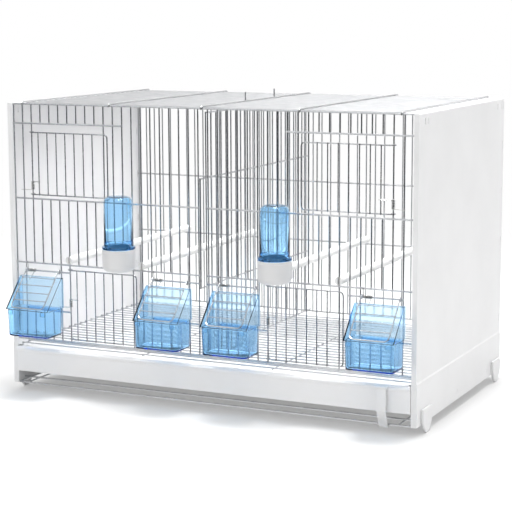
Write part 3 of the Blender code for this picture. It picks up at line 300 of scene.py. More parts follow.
# Camera and studio
CAMERA_PLACE = (0.9173, -1.769, 0.5238)
CAMERA_TURN = math.radians(25.478)
CAMERA_TILT = math.radians(80.93)
CAMERA_ROLL = math.radians(-0.2265)
CAMERA_LENS = 109.97
SENSOR = 36.0
FLOOR_HALF = 30.0
FLOOR_DROP = 0.0002
FLOOR_CELLS = 8
FLOOR_ROUGH = 0.9
FLOOR_SHINE = 0.1
FLOOR_DARK = (0.55, 0.55, 0.55)
FLOOR_LIGHT = (0.58, 0.58, 0.58)
FLOOR_LIFT = 0.28
FLOOR_NEAR = 0.6
FLOOR_FAR = 1.6
SKY_FILL = 0.87
FLAG_TONE = 0.02

# Dark flags: heading, then the cosine to it where the flag starts and where it is full
FLAGS = (
    ((0.75, -0.64, -0.16), 0.34, 0.50),
    ((-0.95, -0.25, -0.16), 0.68, 0.78),
)

# Lamps: name, place, size and power
LAMPS = (
    ("key_light", (-1.3, -2.4, 2.8), 2.4, 2.0),
    ("side_light", (2.6, -0.8, 1.6), 1.8, 2.0),
    ("top_light", (0.1, 0.1, 2.2), 0.8, 68.0),
)


def wire_x(index):
    """Place across the cage of upright number index, counted from the left."""
    return (index - LAST_UPRIGHT / 2) * PITCH


def sweep(bm, points, radius, corner_towards, sides=WIRE_SIDES):
    """A closed wire along points, with mitred bends and flat ends."""
    points = [Vector(point) for point in points]
    steps = [(end - start).normalized() for start, end in zip(points, points[1:])]
    across = Vector(corner_towards)
    across = (across - steps[0] * across.dot(steps[0])).normalized()
    over = steps[0].cross(across)
    ring = []
    for corner in range(sides):
        angle = TURN * corner / sides
        ring.append(points[0] + radius * (across * math.cos(angle) + over * math.sin(angle)))
    rings = [ring]
    for index, step in enumerate(steps):
        after = steps[min(index + 1, len(steps) - 1)]
        normal = (step + after).normalized()
        centre = points[index + 1]
        ring = [at + step * ((centre - at).dot(normal) / step.dot(normal)) for at in ring]
        rings.append(ring)
    loops = [[bm.verts.new(at) for at in ring] for ring in rings]
    for low, high in zip(loops, loops[1:]):
        for corner in range(sides):
            after = (corner + 1) % sides
            bm.faces.new((low[corner], low[after], high[after], high[corner]))
    bm.faces.new(reversed(loops[0]))
    bm.faces.new(loops[-1])


def box(bm, low, high):
    """A box between two corners."""
    size = Vector(high) - Vector(low)
    middle = (Vector(high) + Vector(low)) / 2
    matrix = Matrix.Translation(middle) @ Matrix.Diagonal((*size, 1))
    bmesh.ops.create_cube(bm, size=1, matrix=matrix)


def prism(bm, outline, place, start, end):
    """Extrude a closed outline of pairs; place turns a pair and a depth into a point."""
    near = [bm.verts.new(place(*pair, start)) for pair in outline]
    far = [bm.verts.new(place(*pair, end)) for pair in outline]
    count = len(outline)
    for index in range(count):
        after = (index + 1) % count
        bm.faces.new((near[index], near[after], far[after], far[index]))
    bm.faces.new(reversed(near))
    bm.faces.new(far)


def along_x(y, z, x):
    """Place an outline drawn across the depth, seen from the side."""
    return (x, y, z)


def rounded_rectangle(left, right, front, rear, radius):
    """A level rectangle whose corners are arcs."""
    corners = [(right - radius, rear - radius), (left + radius, rear - radius),
               (left + radius, front + radius), (right - radius, front + radius)]
    points = []
    for quarter, (x, y) in enumerate(corners):
        for step in range(CORNER_STEPS + 1):
            angle = TURN / 4 * (quarter + step / CORNER_STEPS)
            points.append((x + radius * math.cos(angle), y + radius * math.sin(angle)))
    return points


def revolve(bm, profile, centre_x, centre_y):
    """Turn a closed profile of (radius, height) pairs about an upright axis."""
    sides = TURNED_SIDES
    rings = []
    for radius, height in profile:
        if radius == 0:
            rings.append([bm.verts.new((centre_x, centre_y, height))] * sides)
            continue
        ring = []
        for side in range(sides):
            angle = TURN * side / sides
            x = centre_x + radius * math.cos(angle)
            y = centre_y + radius * math.sin(angle)
            ring.append(bm.verts.new((x, y, height)))
        rings.append(ring)
    for index, low in enumerate(rings):
        high = rings[(index + 1) % len(rings)]
        for side in range(sides):
            after = (side + 1) % sides
            face = [low[side], low[after], high[after], high[side]]
            corners = [vert for place, vert in enumerate(face) if vert not in face[:place]]
            if len(corners) > 2:
                bm.faces.new(corners)


def joined_spans(spans):
    """Merge spans of height that touch."""
    merged = []
    for low, high in sorted(spans):
        if merged and merged[-1][1] >= low:
            merged[-1][1] = max(merged[-1][1], high)
        else:
            merged.append([low, high])
    return merged


def upright_spans(index, mirrored):
    """Heights between which one upright of a front half runs."""
    spans = []
    if any(first < index < last for first, last in FEEDER_GAPS):
        spans.append((BOTTOM_Z, SILL_Z))
    elif not LOWER_DOOR_GAP[0] < index < LOWER_DOOR_GAP[1]:
        spans.append((BOTTOM_Z, LOW_Z))
    counted = HALF_UPRIGHTS - 1 - index if mirrored else index
    if UPPER_DOOR_GAP[0] < counted < UPPER_DOOR_GAP[1]:
        spans.append((LOW_Z, MID_Z))
        spans.append((HEADER_Z, RAIL_Z))
    else:
        spans.append((LOW_Z, RAIL_Z))
    return joined_spans(spans)


def upright(bm, x, y, low, high, radius, towards):
    """A straight vertical wire that runs a little past the wires it is welded to."""
    sweep(bm, [(x, y, low - END_OVERRUN), (x, y, high + END_OVERRUN)], radius, towards)


def cross_wire(bm, x_low, x_high, y, z):
    """A straight wire across the width."""
    sweep(bm, [(x_low, y, z), (x_high, y, z)], CROSS_RADIUS, (0, 1, 0))


def depth_wire(bm, x, y_low, y_high, z, radius, towards):
    """A straight wire from front to back."""
    sweep(bm, [(x, y_low, z), (x, y_high, z)], radius, towards)


def width_wire(bm, end_x, y, z, radius):
    """A level wire across the width that reaches end_x to each side."""
    sweep(bm, [(-end_x, y, z), (end_x, y, z)], radius, (0, 0, 1))


def roof_clip(side, rail_y):
    """The bent end of a roof runner, over and down outside a rail."""
    reach = CROSS_RADIUS + GAP + ROOF_RUNNER_RADIUS
    points = []
    for step in range(CORNER_STEPS + 1):
        angle = TURN / 4 * step / CORNER_STEPS
        points.append((rail_y + side * reach * math.sin(angle), RAIL_Z + reach * math.cos(angle)))
    points.append((rail_y + side * reach, RAIL_Z - ROOF_CLIP_DROP))
    return points


def eye_points(radius, start, onward):
    """Points of a three-quarter eye about an axis, from start turning towards onward."""
    points = []
    for step in range(EYE_STEPS + 1):
        angle = step * EYE_STEP
        points.append(radius * (start * math.cos(angle) + onward * math.sin(angle)))
    return points


def slope_frame():
    """Directions down and out of a hanging flap."""
    down = Vector((0, -math.sin(FLAP_ANGLE), -math.cos(FLAP_ANGLE)))
    out = Vector((0, -math.cos(FLAP_ANGLE), math.sin(FLAP_ANGLE)))
    return down, out


def coil(centre, axis, start, onward):
    """Points of a close coil that advances along axis from centre."""
    points = []
    for index in range(COIL_TURNS * COIL_POINTS + 1):
        angle = TURN * index / COIL_POINTS
        around = start * math.cos(angle) + onward * math.sin(angle)
        points.append(centre + COIL_RADIUS * around + axis * (COIL_PITCH * index / COIL_POINTS))
    return points


def start_material(name):
    """A new material with its tree and its Principled shader."""
    material = bpy.data.materials.new(name)
    material.use_nodes = True
    tree = material.node_tree
    return material, tree, tree.nodes["Principled BSDF"]


def noise(tree, scale, detail, stretch=(1, 1, 1)):
    """Noise in the object's own space; scale is counted per metre."""
    place = tree.nodes.new("ShaderNodeTexCoord")
    mapping = tree.nodes.new("ShaderNodeMapping")
    mapping.inputs["Scale"].default_value = stretch
    texture = tree.nodes.new("ShaderNodeTexNoise")
    texture.inputs["Scale"].default_value = scale
    texture.inputs["Detail"].default_value = detail
    tree.links.new(place.outputs["Object"], mapping.inputs["Vector"])
    tree.links.new(mapping.outputs["Vector"], texture.inputs["Vector"])
    return texture.outputs["Fac"]


def spread(tree, source, low, high, socket):
    """Send a noise to a socket, spread between two values."""
    ranged = tree.nodes.new("ShaderNodeMapRange")
    ranged.inputs["From Min"].default_value = NOISE_RANGE[0]
    ranged.inputs["From Max"].default_value = NOISE_RANGE[1]
    ranged.inputs["To Min"].default_value = low
    ranged.inputs["To Max"].default_value = high
    tree.links.new(source, ranged.inputs["Value"])
    tree.links.new(ranged.outputs["Result"], socket)


def spread_between(tree, source, low, high, socket):
    """Send low to a socket where source is zero and high where it is one."""
    ranged = tree.nodes.new("ShaderNodeMapRange")
    ranged.inputs["To Min"].default_value = low
    ranged.inputs["To Max"].default_value = high
    tree.links.new(source, ranged.inputs["Value"])
    tree.links.new(ranged.outputs["Result"], socket)


def tint(tree, source, dark, light, socket):
    """Send a colour to a socket that drifts between two tones with a noise."""
    ramp = tree.nodes.new("ShaderNodeValToRGB")
    for element, position, tone in zip(ramp.color_ramp.elements, TINT_RANGE, (dark, light)):
        element.position = position
        element.color = (*tone, 1)
    tree.links.new(source, ramp.inputs["Fac"])
    tree.links.new(ramp.outputs["Color"], socket)


def bumps(tree, shader, source, strength, distance):
    """Raise the surface a little with a noise."""
    bump = tree.nodes.new("ShaderNodeBump")
    bump.inputs["Strength"].default_value = strength
    bump.inputs["Distance"].default_value = distance
    tree.links.new(source, bump.inputs["Height"])
    tree.links.new(bump.outputs["Normal"], shader.inputs["Normal"])


def metal(name, dark, light, smooth, rough):
    """Bright drawn wire: drifting zinc tone, fine scratches."""
    material, tree, shader = start_material(name)
    shader.inputs["Metallic"].default_value = 1.0
    drift = noise(tree, *WIRE_DRIFT)
    grain = noise(tree, *WIRE_GRAIN)
    tint(tree, drift, dark, light, shader.inputs["Base Color"])
    spread(tree, grain, smooth, rough, shader.inputs["Roughness"])
    bumps(tree, shader, grain, *WIRE_BUMPS)
    return material


def moulded(name, dark, light, smooth, rough, grain_height):
    """Opaque moulded plastic: faint tone drift, satin, a fine mould grain."""
    material, tree, shader = start_material(name)
    shader.inputs["IOR"].default_value = MOULD_IOR
    drift = noise(tree, *MOULD_DRIFT)
    flow = noise(tree, *MOULD_FLOW)
    grain = noise(tree, *MOULD_GRAIN)
    tint(tree, drift, dark, light, shader.inputs["Base Color"])
    spread(tree, flow, smooth, rough, shader.inputs["Roughness"])
    bumps(tree, shader, grain, MOULD_BUMPS, grain_height)
    return material


def clear(name, dark, light, smooth, rough, body_colour, density):
    """Clear tinted plastic that deepens where light runs far through it."""
    material, tree, shader = start_material(name)
    shader.inputs["IOR"].default_value = CLEAR_IOR
    shader.inputs["Transmission Weight"].default_value = 1.0
    drift = noise(tree, *CLEAR_DRIFT)
    flow = noise(tree, *CLEAR_FLOW)
    tint(tree, drift, dark, light, shader.inputs["Base Color"])
    spread(tree, flow, smooth, rough, shader.inputs["Roughness"])
    bumps(tree, shader, flow, *CLEAR_BUMPS)
    absorb = tree.nodes.new("ShaderNodeVolumeAbsorption")
    absorb.inputs["Color"].default_value = (*body_colour, 1)
    absorb.inputs["Density"].default_value = density
    tree.links.new(absorb.outputs["Volume"], tree.nodes["Material Output"].inputs["Volume"])
    return material


def make_looks():
    """Every material of the cage, by name."""
    looks = {name: metal(name, *values) for name, values in METALS.items()}
    looks.update({name: moulded(name, *values) for name, values in MOULDINGS.items()})
    looks["clear_blue_plastic"] = clear("clear_blue_plastic", *CLEAR_BLUE)
    return looks


def add_mesh(name, bm):
    """Put a finished mesh, moved into the row frame, into the scene."""
    bmesh.ops.recalc_face_normals(bm, faces=bm.faces)
    bmesh.ops.translate(bm, verts=bm.verts, vec=(0, -CAGE_MIDDLE_Y, 0))
    mesh = bpy.data.meshes.new(name)
    bm.to_mesh(mesh)
    bm.free()
    mesh.shade_smooth()
    mesh.set_sharp_from_angle(angle=SMOOTH_ANGLE)
    piece = bpy.data.objects.new(name, mesh)
    bpy.context.scene.collection.objects.link(piece)
    return piece


def dress(name, bm, slot, body, *nodes):
    """A piece that stands for CAD nodes: on their body, with their slot's look."""
    piece = add_mesh(name, bm)
    piece.data.materials.append(LOOKS[slot])
    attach(piece, body)
    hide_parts(*nodes)
    return piece


def refinish(piece, look):
    """Give a dressed piece another finish of its slot."""
    piece.data.materials[0] = LOOKS[look]


def ease_edges(piece, width=MOULD_EDGE, segments=MOULD_SEGMENTS):
    """Round the sharp edges of a moulded piece a little."""
    bevel = piece.modifiers.new("eased_edges", "BEVEL")
    bevel.width = width
    bevel.segments = segments
    bevel.limit_method = "ANGLE"
    bevel.angle_limit = SMOOTH_ANGLE
    bevel.harden_normals = True


def combine(piece, bm, operation):
    """Join a second shape to a piece, or cut it away, and keep the result as its mesh."""
    tool = add_mesh("combine_tool", bm)
    boolean = piece.modifiers.new("combine", "BOOLEAN")
    boolean.operation = operation
    boolean.solver = "EXACT"
    boolean.object = tool
    graph = bpy.context.evaluated_depsgraph_get()
    result = bpy.data.meshes.new_from_object(piece.evaluated_get(graph))
    piece.modifiers.clear()
    piece.data = result
    result.shade_smooth()
    result.set_sharp_from_angle(angle=SMOOTH_ANGLE)
    bpy.data.objects.remove(tool)


def shell(bm, rings):
    """A closed skin through level rings of as many points each, capped at both ends."""
    loops = [[bm.verts.new(point) for point in ring] for ring in rings]
    count = len(loops[0])
    for low, high in zip(loops, loops[1:]):
        for index in range(count):
            after = (index + 1) % count
            bm.faces.new((low[index], low[after], high[after], high[index]))
    bm.faces.new(reversed(loops[0]))
    bm.faces.new(loops[-1])


def make_front_half(name, node, first, mirrored):
    """Half of the front: round uprights with the cross wires welded on outside."""
    bm = bmesh.new()
    for index in range(HALF_UPRIGHTS):
        for low, high in upright_spans(index, mirrored):
            upright(bm, wire_x(first + index), 0, low, high, UPRIGHT_RADIUS, (0, 1, 0))
    side = 1 if mirrored else -1
    for z in (RAIL_Z, BOTTOM_Z):
        ends = sorted((side * WIRE_END_X, side * HALF_GAP))
        cross_wire(bm, *ends, CROSS_Y, z)
    inner_end = wire_x(first + (0 if mirrored else HALF_UPRIGHTS - 1)) - side * END_OVERRUN
    for z in (MID_Z, LOW_Z):
        cross_wire(bm, *sorted((side * WIRE_END_X, inner_end)), CROSS_Y, z)
    for low, high in SILLS:
        ends = (wire_x(first + low) - END_OVERRUN, wire_x(first + high) + END_OVERRUN)
        cross_wire(bm, *ends, CROSS_Y, SILL_Z)
    for low, high, z in ((*RODS[0], ROD_Z), (*RODS[1], ROD_Z), (0, HEADER_LAST, HEADER_Z)):
        if mirrored:
            low, high = HALF_UPRIGHTS - 1 - high, HALF_UPRIGHTS - 1 - low
        ends = (wire_x(first + low) - END_OVERRUN, wire_x(first + high) + END_OVERRUN)
        cross_wire(bm, *ends, CROSS_Y, z)
    dress(name, bm, "zinc_wire", "cage", node)


def make_back():
    """The back grille, with its cross wires outside."""
    bm = bmesh.new()
    for index in range(UPRIGHTS):
        upright(bm, wire_x(index), BACK_Y, BOTTOM_Z, RAIL_Z, UPRIGHT_RADIUS, (0, 1, 0))
    for z in (RAIL_Z, MID_Z, LOW_Z, BOTTOM_Z):
        cross_wire(bm, -WIRE_END_X, WIRE_END_X, BACK_CROSS_Y, z)
    refinish(dress("back_wires", bm, "zinc_wire", "cage", "back_grid"), "dull_zinc_wire")


def make_roof():
    """The lift-off roof grille with its two pegs."""
    bm = bmesh.new()
    for x in ROOF_RUNNERS_X:
        ends = list(reversed(roof_clip(-1, CROSS_Y))) + roof_clip(1, BACK_CROSS_Y)
        sweep(bm, [(x, y, z) for y, z in ends], ROOF_RUNNER_RADIUS, (1, 0, 0))
    wire_z = ROOF_RUNNER_Z - ROOF_RUNNER_RADIUS - ROOF_RADIUS + WELD_DEPTH
    end_x = ROOF_RUNNERS_X[-1] + ROOF_END_OVERRUN
    spare = BACK_Y - (ROOF_WIRES - 1) * PITCH
    for index in range(ROOF_WIRES):
        y = spare / 2 + index * PITCH
        width_wire(bm, end_x, y, wire_z, ROOF_RADIUS)
    refinish(dress("roof_wires", bm, "zinc_wire", "cage", "roof_grid"), "dull_zinc_wire")
    foot_z = ROOF_RUNNER_Z + ROOF_RUNNER_RADIUS - WELD_DEPTH
    for number, y in enumerate(PEGS_Y, 1):
        peg = bmesh.new()
        sweep(peg, [(0, y, foot_z), (0, y, ROOF_RUNNER_Z + PEG_HEIGHT)], ROOF_RADIUS, (0, 1, 0))
        dress(f"roof_peg_{number}_wire", peg, "zinc_wire", "cage", f"roof_peg_{number}")


def make_floor_grille():
    """The grille that slides out over the tray."""
    bm = bmesh.new()
    rear_y = BACK_Y - GRILLE_FRONT_Y
    spacing = (rear_y - GRILLE_FRONT_Y) / (GRILLE_WIRES - 1)
    end_x = GRILLE_RUNNERS_X[-1] + END_OVERRUN
    wire_z = GRILLE_TOP_Z - GRILLE_RADIUS
    for index in range(GRILLE_WIRES):
        y = GRILLE_FRONT_Y + index * spacing
        width_wire(bm, end_x, y, wire_z, GRILLE_RADIUS)
    for x in GRILLE_RUNNERS_X:
        depth_wire(bm, x, GRILLE_FRONT_Y - END_OVERRUN, rear_y + END_OVERRUN, GRILLE_RUNNER_Z,
                   GRILLE_RADIUS, (0, 0, 1))
    dress("floor_grille_wires", bm, "zinc_wire", "floor_grille", "floor_grille")


def make_divider():
    """The sliding partition, with two bars drawn out through the front as a handle."""
    bm = bmesh.new()
    spacing = (DIVIDER_BACK_Y - DIVIDER_FRONT_Y) / (DIVIDER_WIRES - 1)
    for index in range(DIVIDER_WIRES):
        y = DIVIDER_FRONT_Y + index * spacing
        upright(bm, 0, y, DIVIDER_BOTTOM_Z, DIVIDER_TOP_Z, DIVIDER_RADIUS, (1, 0, 0))
    x = DIVIDER_RADIUS + DIVIDER_CROSS_RADIUS - WELD_DEPTH
    front, rear = DIVIDER_FRONT_Y - END_OVERRUN, DIVIDER_BACK_Y + END_OVERRUN
    depth_wire(bm, x, front, rear, DIVIDER_TOP_Z, DIVIDER_CROSS_RADIUS, (1, 0, 0))
    depth_wire(bm, x, CROSS_Y - DIVIDER_SEAT_OVERRUN, BACK_CROSS_Y + DIVIDER_SEAT_OVERRUN,
               DIVIDER_BOTTOM_Z, DIVIDER_CROSS_RADIUS, (1, 0, 0))
    low, high = DIVIDER_BARS_Z
    handle = [(x, rear, low), (x, DIVIDER_HANDLE_Y, low),
              (x, DIVIDER_HANDLE_Y, high), (x, rear, high)]
    sweep(bm, handle, DIVIDER_CROSS_RADIUS, (1, 0, 0))
    dress("divider_wires", bm, "zinc_wire", "divider", "divider")


def make_base_frame():
    """The wire frame under the tray, held between the side panels."""
    bm = bmesh.new()
    front = BASE_RAILS_Y[0] - BASE_RUNNER_OVERRUN
    rear = BASE_RAILS_Y[-1] + BASE_RUNNER_OVERRUN
    for place in BASE_RUNNERS_X:
        for x in (-place, place):
            depth_wire(bm, x, front, rear, BASE_RUNNER_Z, BASE_RADIUS, (0, 0, 1))
    end_x = PANEL_INNER_X - GAP
    for y in BASE_RAILS_Y:
        width_wire(bm, end_x, y, BASE_Z, BASE_RADIUS)
    for y in BASE_TOP_RAILS_Y:
        width_wire(bm, end_x, y, BASE_TOP_Z, BASE_RADIUS)
    dress("base_frame_wires", bm, "zinc_wire", "cage", "base_frame")


def make_door(node, hinge_index, free_x, heights, bars):
    """A wire door with eyes on a front upright; its bars lie outside its frame."""
    hinge_x = wire_x(hinge_index)
    side = math.copysign(1, free_x - hinge_x)
    outward, sideways = Vector((0, -1, 0)), Vector((-side, 0, 0))
    eye = eye_points(DOOR_EYE_RADIUS, outward, sideways)
    low, high = heights[0] + DOOR_RADIUS, heights[1] - DOOR_RADIUS
    low_hinge, high_hinge = Vector((hinge_x, 0, low)), Vector((hinge_x, 0, high))
    jog_x, stand_y = hinge_x + side * DOOR_JOG, -DOOR_STAND_OFF
    points = [low_hinge + point for point in reversed(eye)]
    points.append(Vector((jog_x, stand_y, low)))
    for corner_z, turn in ((low, 1), (high, -1)):
        arc = []
        for step in range(CORNER_STEPS + 1):
            angle = TURN / 4 * step / CORNER_STEPS
            x = free_x - side * DOOR_CORNER * (1 - math.sin(angle))
            arc.append(Vector((x, stand_y, corner_z + turn * DOOR_CORNER * (1 - math.cos(angle)))))
        points.extend(arc if turn > 0 else reversed(arc))
    points.append(Vector((jog_x, stand_y, high)))
    points.extend(high_hinge + point for point in eye)
    bm = bmesh.new()
    sweep(bm, points, DOOR_RADIUS, (0, 0, 1))
    bar_y = stand_y - DOOR_RADIUS - DOOR_BAR_RADIUS + WELD_DEPTH
    for index in bars:
        upright(bm, wire_x(index), bar_y, low, high, DOOR_BAR_RADIUS, (0, 1, 0))
    dress(f"{node}_wires", bm, "zinc_wire", node, node)


def make_flap(number, mid_x):
    """The wire flap that hangs on its rod and keeps a feeder in."""
    down, out = slope_frame()
    hinge = Vector((mid_x, CROSS_Y, ROD_Z))
    face = hinge + out * FLAP_EYE_RADIUS
    left, right = Vector((-FLAP_HALF_WIDTH, 0, 0)), Vector((FLAP_HALF_WIDTH, 0, 0))
    eye = eye_points(FLAP_EYE_RADIUS, out, -down)
    points = [hinge + left + point for point in reversed(eye)]
    for edge, turn in ((left, 1), (right, -1)):
        arc = []
        for step in range(CORNER_STEPS + 1):
            angle = TURN / 4 * step / CORNER_STEPS
            inward = Vector((turn * FLAP_CORNER * (1 - math.cos(angle)), 0, 0))
            fall = FLAP_LENGTH - FLAP_CORNER * (1 - math.sin(angle))
            arc.append(face + edge + inward + down * fall)
        points.extend(arc if turn > 0 else reversed(arc))
    points.extend(hinge + right + point for point in eye)
    bm = bmesh.new()
    sweep(bm, points, FLAP_RADIUS, out)
    bar_out = out * (FLAP_RADIUS + FLAP_BAR_RADIUS - WELD_DEPTH)
    spacing = (FLAP_LENGTH - FLAP_FIRST_BAR) / FLAP_BARS
    overrun = Vector((END_OVERRUN, 0, 0))
    for index in range(FLAP_BARS):
        centre = face + bar_out + down * (FLAP_FIRST_BAR + index * spacing)
        sweep(bm, [centre + left - overrun, centre + right + overrun], FLAP_BAR_RADIUS, out)
    node = f"feeder_flap_{number}"
    dress(f"{node}_wires", bm, "zinc_wire", f"flap_{number}", node)


def make_spring(node, points, axis):
    """A close coil that twists between the cage and what it presses on."""
    bm = bmesh.new()
    sweep(bm, points, SPRING_RADIUS, axis.orthogonal(), SPRING_SIDES)
    piece = add_mesh(f"{node}_wire", bm)
    piece.data.materials.append(LOOKS["spring_wire"])
    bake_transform(piece)
    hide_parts(node)


def make_flap_spring(number, mid_x):
    """A torsion spring on a flap's rod: one arm up the front, one down the flap."""
    down, out = slope_frame()
    axis = Vector((1, 0, 0))
    hinge = Vector((mid_x - FLAP_HALF_WIDTH + FLAP_SPRING_START, CROSS_Y, ROD_Z))
    front, up = Vector((0, -1, 0)), Vector((0, 0, 1))
    turns = coil(hinge, axis, front, -up)
    arm_up = turns[0] + up * SPRING_UP_ARM + front * SPRING_RADIUS - axis * COIL_PITCH / 2
    arm_down = turns[-1] + axis * COIL_PITCH / 2 + down * SPRING_ARM
    rise = (FLAP_FACE + ARM_SEAT - COIL_RADIUS) * SPRING_ARM / (FLAP_FIRST_BAR - FLAP_BAR_RADIUS)
    arm_down += out * (rise + COIL_RADIUS * (1 - out.dot(front)))
    points = [arm_up] + turns + [arm_down]
    make_spring(f"flap_spring_{number}", points, axis)


def make_door_spring(word, hinge_index, side, low_z):
    """A torsion spring on a door's hinge upright: a leg on the front, a bent arm on the door."""
    hinge = Vector((wire_x(hinge_index), 0, low_z))
    front, across, up = Vector((0, -1, 0)), Vector((side, 0, 0)), Vector((0, 0, 1))
    turns = coil(hinge, up, front, across)
    leg = turns[0] - across * DOOR_SPRING_LEG - up * COIL_PITCH / 2
    leg += front * (DOOR_SPRING_LEG_LIFT - COIL_RADIUS)
    reach = PITCH - DOOR_BAR_RADIUS
    seat = turns[-1] + across * reach + up * COIL_PITCH / 2
    seat += front * (DOOR_FACE + ARM_SEAT - COIL_RADIUS)
    tip = seat + across * (DOOR_SPRING_ARM - reach)
    make_spring(f"{word}_door_spring", [leg] + turns + [seat, tip], up)


def trough_ring(mid_x, inset, z):
    """A level ring of the trough's outline, drawn in by inset."""
    half = FEEDER_WIDTH / 2 - inset
    ring = rounded_rectangle(mid_x - half, mid_x + half, FEEDER_FRONT_Y + inset,
                             FEEDER_REAR_Y - inset, FEEDER_CORNER - inset)
    return [(x, y, z) for x, y in ring]


def make_feeder(number, mid_x):
    """An open clear trough with eased edges, its hanging lip and its two front lugs."""
    wall, draft, ease = FEEDER_WALL, FEEDER_TAPER, EDGE_ROUND
    low, top = FEEDER_BOTTOM_Z, FEEDER_TOP_Z
    bm = bmesh.new()
    section = ((draft + 2 * ease, low), (draft + ease / 2, low + ease / 2),
               (draft, low + 2 * ease), (0, top - ease / 2), (ease / 2, top),
               (wall - ease / 2, top), (wall, top - ease / 2),
               (wall + draft, low + wall + 2 * ease), (wall + draft + 2 * ease, low + wall))
    shell(bm, [trough_ring(mid_x, inset, z) for inset, z in section])
    lip_z = SILL_Z + CROSS_RADIUS + GAP
    box(bm, (mid_x - FEEDER_LIP_WIDTH / 2, FEEDER_REAR_Y, lip_z),
        (mid_x + FEEDER_LIP_WIDTH / 2, FEEDER_LIP_REACH, lip_z + FEEDER_LIP_THICK))
    lug_y = FEEDER_FRONT_Y - LUG_PROUD
    for side in (-1, 1):
        lug_x = mid_x + side * (FEEDER_WIDTH / 2 - LUG_INSET - LUG_WIDTH / 2)
        box(bm, (lug_x - LUG_WIDTH / 2, lug_y, top - LUG_HEIGHT),
            (lug_x + LUG_WIDTH / 2, lug_y + LUG_DEPTH, top - ease))
    body = f"feeder_{number}"
    piece = dress(f"{body}_clear_trough", bm, "clear_blue_plastic", body, f"{body}_trough")
    ease_edges(piece, EDGE_ROUND / 2, 1)


def make_cup(word, mid_x):
    """A drinker's round cup with a rim line and an open spout between two uprights."""
    base, top, low, turn = CUP_BASE_RADIUS, CUP_TOP_Z, CUP_BOTTOM_Z, CUP_ROUND
    profile = [(0, low), (base - turn, low)]
    for step in range(1, CORNER_STEPS + 1):
        angle = TURN / 4 * step / CORNER_STEPS
        radius = base - turn + (CUP_RADIUS - base + turn) * math.sin(angle)
        profile.append((radius, low + 2 * turn * (1 - math.cos(angle))))
    line = top - RIM_LINE_DROP
    profile += [(CUP_RADIUS, line - RIM_LINE_DEPTH), (CUP_RADIUS - RIM_LINE_DEPTH, line),
                (CUP_RADIUS, line + RIM_LINE_DEPTH), (CUP_RADIUS, top - RIM_LINE_DEPTH),
                (CUP_RADIUS - RIM_LINE_DEPTH, top), (CUP_RADIUS - CUP_WALL, top),
                (CUP_RADIUS - CUP_WALL, low + 2 * turn + CUP_FLOOR),
                (base - CUP_WALL, low + CUP_FLOOR + turn / 2), (base - turn, low + CUP_FLOOR),
                (0, low + CUP_FLOOR)]
    bm = bmesh.new()
    revolve(bm, profile, mid_x, DRINKER_Y)
    piece = dress(f"{word}_white_cup", bm, "white_plastic", f"{word}_cup",
                  f"{word}_drinker_cup")
    # A darker copy of the same white plastic: painted shade on the cup
    refinish(piece, "shaded_cup_plastic")
    cut = bmesh.new()
    box(cut, (mid_x - SPOUT_CHANNEL / 2, DRINKER_Y, low + CUP_FLOOR),
        (mid_x + SPOUT_CHANNEL / 2, SPOUT_REACH_Y - SPOUT_WALL, SPOUT_Z + SPOUT_HEIGHT + GAP))
    spout = bmesh.new()
    box(spout, (mid_x - SPOUT_WIDTH / 2, DRINKER_Y + base / 2, SPOUT_Z),
        (mid_x + SPOUT_WIDTH / 2, SPOUT_REACH_Y, SPOUT_Z + SPOUT_HEIGHT))
    combine(piece, spout, "UNION")
    combine(piece, cut, "DIFFERENCE")
    ease_edges(piece, EDGE_ROUND / 2, 1)


def make_tube(word, mid_x):
    """The clear reservoir that stands in a cup: flange, slight taper, round shoulder."""
    rest = CUP_TOP_Z + GAP
    flange_top = rest + TUBE_FLANGE
    shoulder_z = TUBE_TOP_Z - TUBE_SHOULDER
    ease = EDGE_ROUND / 2
    outer = [(TUBE_NECK_RADIUS, rest - TUBE_NECK), (TUBE_NECK_RADIUS, rest),
             (CUP_RADIUS - ease, rest), (CUP_RADIUS, rest + ease),
             (CUP_RADIUS, flange_top - ease), (CUP_RADIUS - ease, flange_top),
             (TUBE_RADIUS_LOW + ease, flange_top), (TUBE_RADIUS_LOW, flange_top + ease)]
    inner = []
    for step in range(CORNER_STEPS + 1):
        angle = TURN / 4 * step / CORNER_STEPS
        rise, turn = math.sin(angle), 1 - math.cos(angle)
        outer.append((TUBE_RADIUS_HIGH - TUBE_SHOULDER * turn,
                      shoulder_z + TUBE_SHOULDER * rise))
        inner_round = TUBE_SHOULDER - TUBE_WALL
        inner.append((TUBE_RADIUS_HIGH - TUBE_WALL - inner_round * turn,
                      shoulder_z + inner_round * rise))
    outer.append((0, TUBE_TOP_Z))
    inner.append((0, TUBE_TOP_Z - TUBE_WALL))
    inner.reverse()
    neck = TUBE_NECK_RADIUS - TUBE_WALL
    inner += [(TUBE_RADIUS_LOW - TUBE_WALL, flange_top), (neck, rest),
              (neck, rest - TUBE_NECK)]
    bm = bmesh.new()
    revolve(bm, outer + inner, mid_x, DRINKER_Y)
    dress(f"{word}_clear_tube", bm, "clear_blue_plastic", f"{word}_tube",
          f"{word}_drinker_tube")


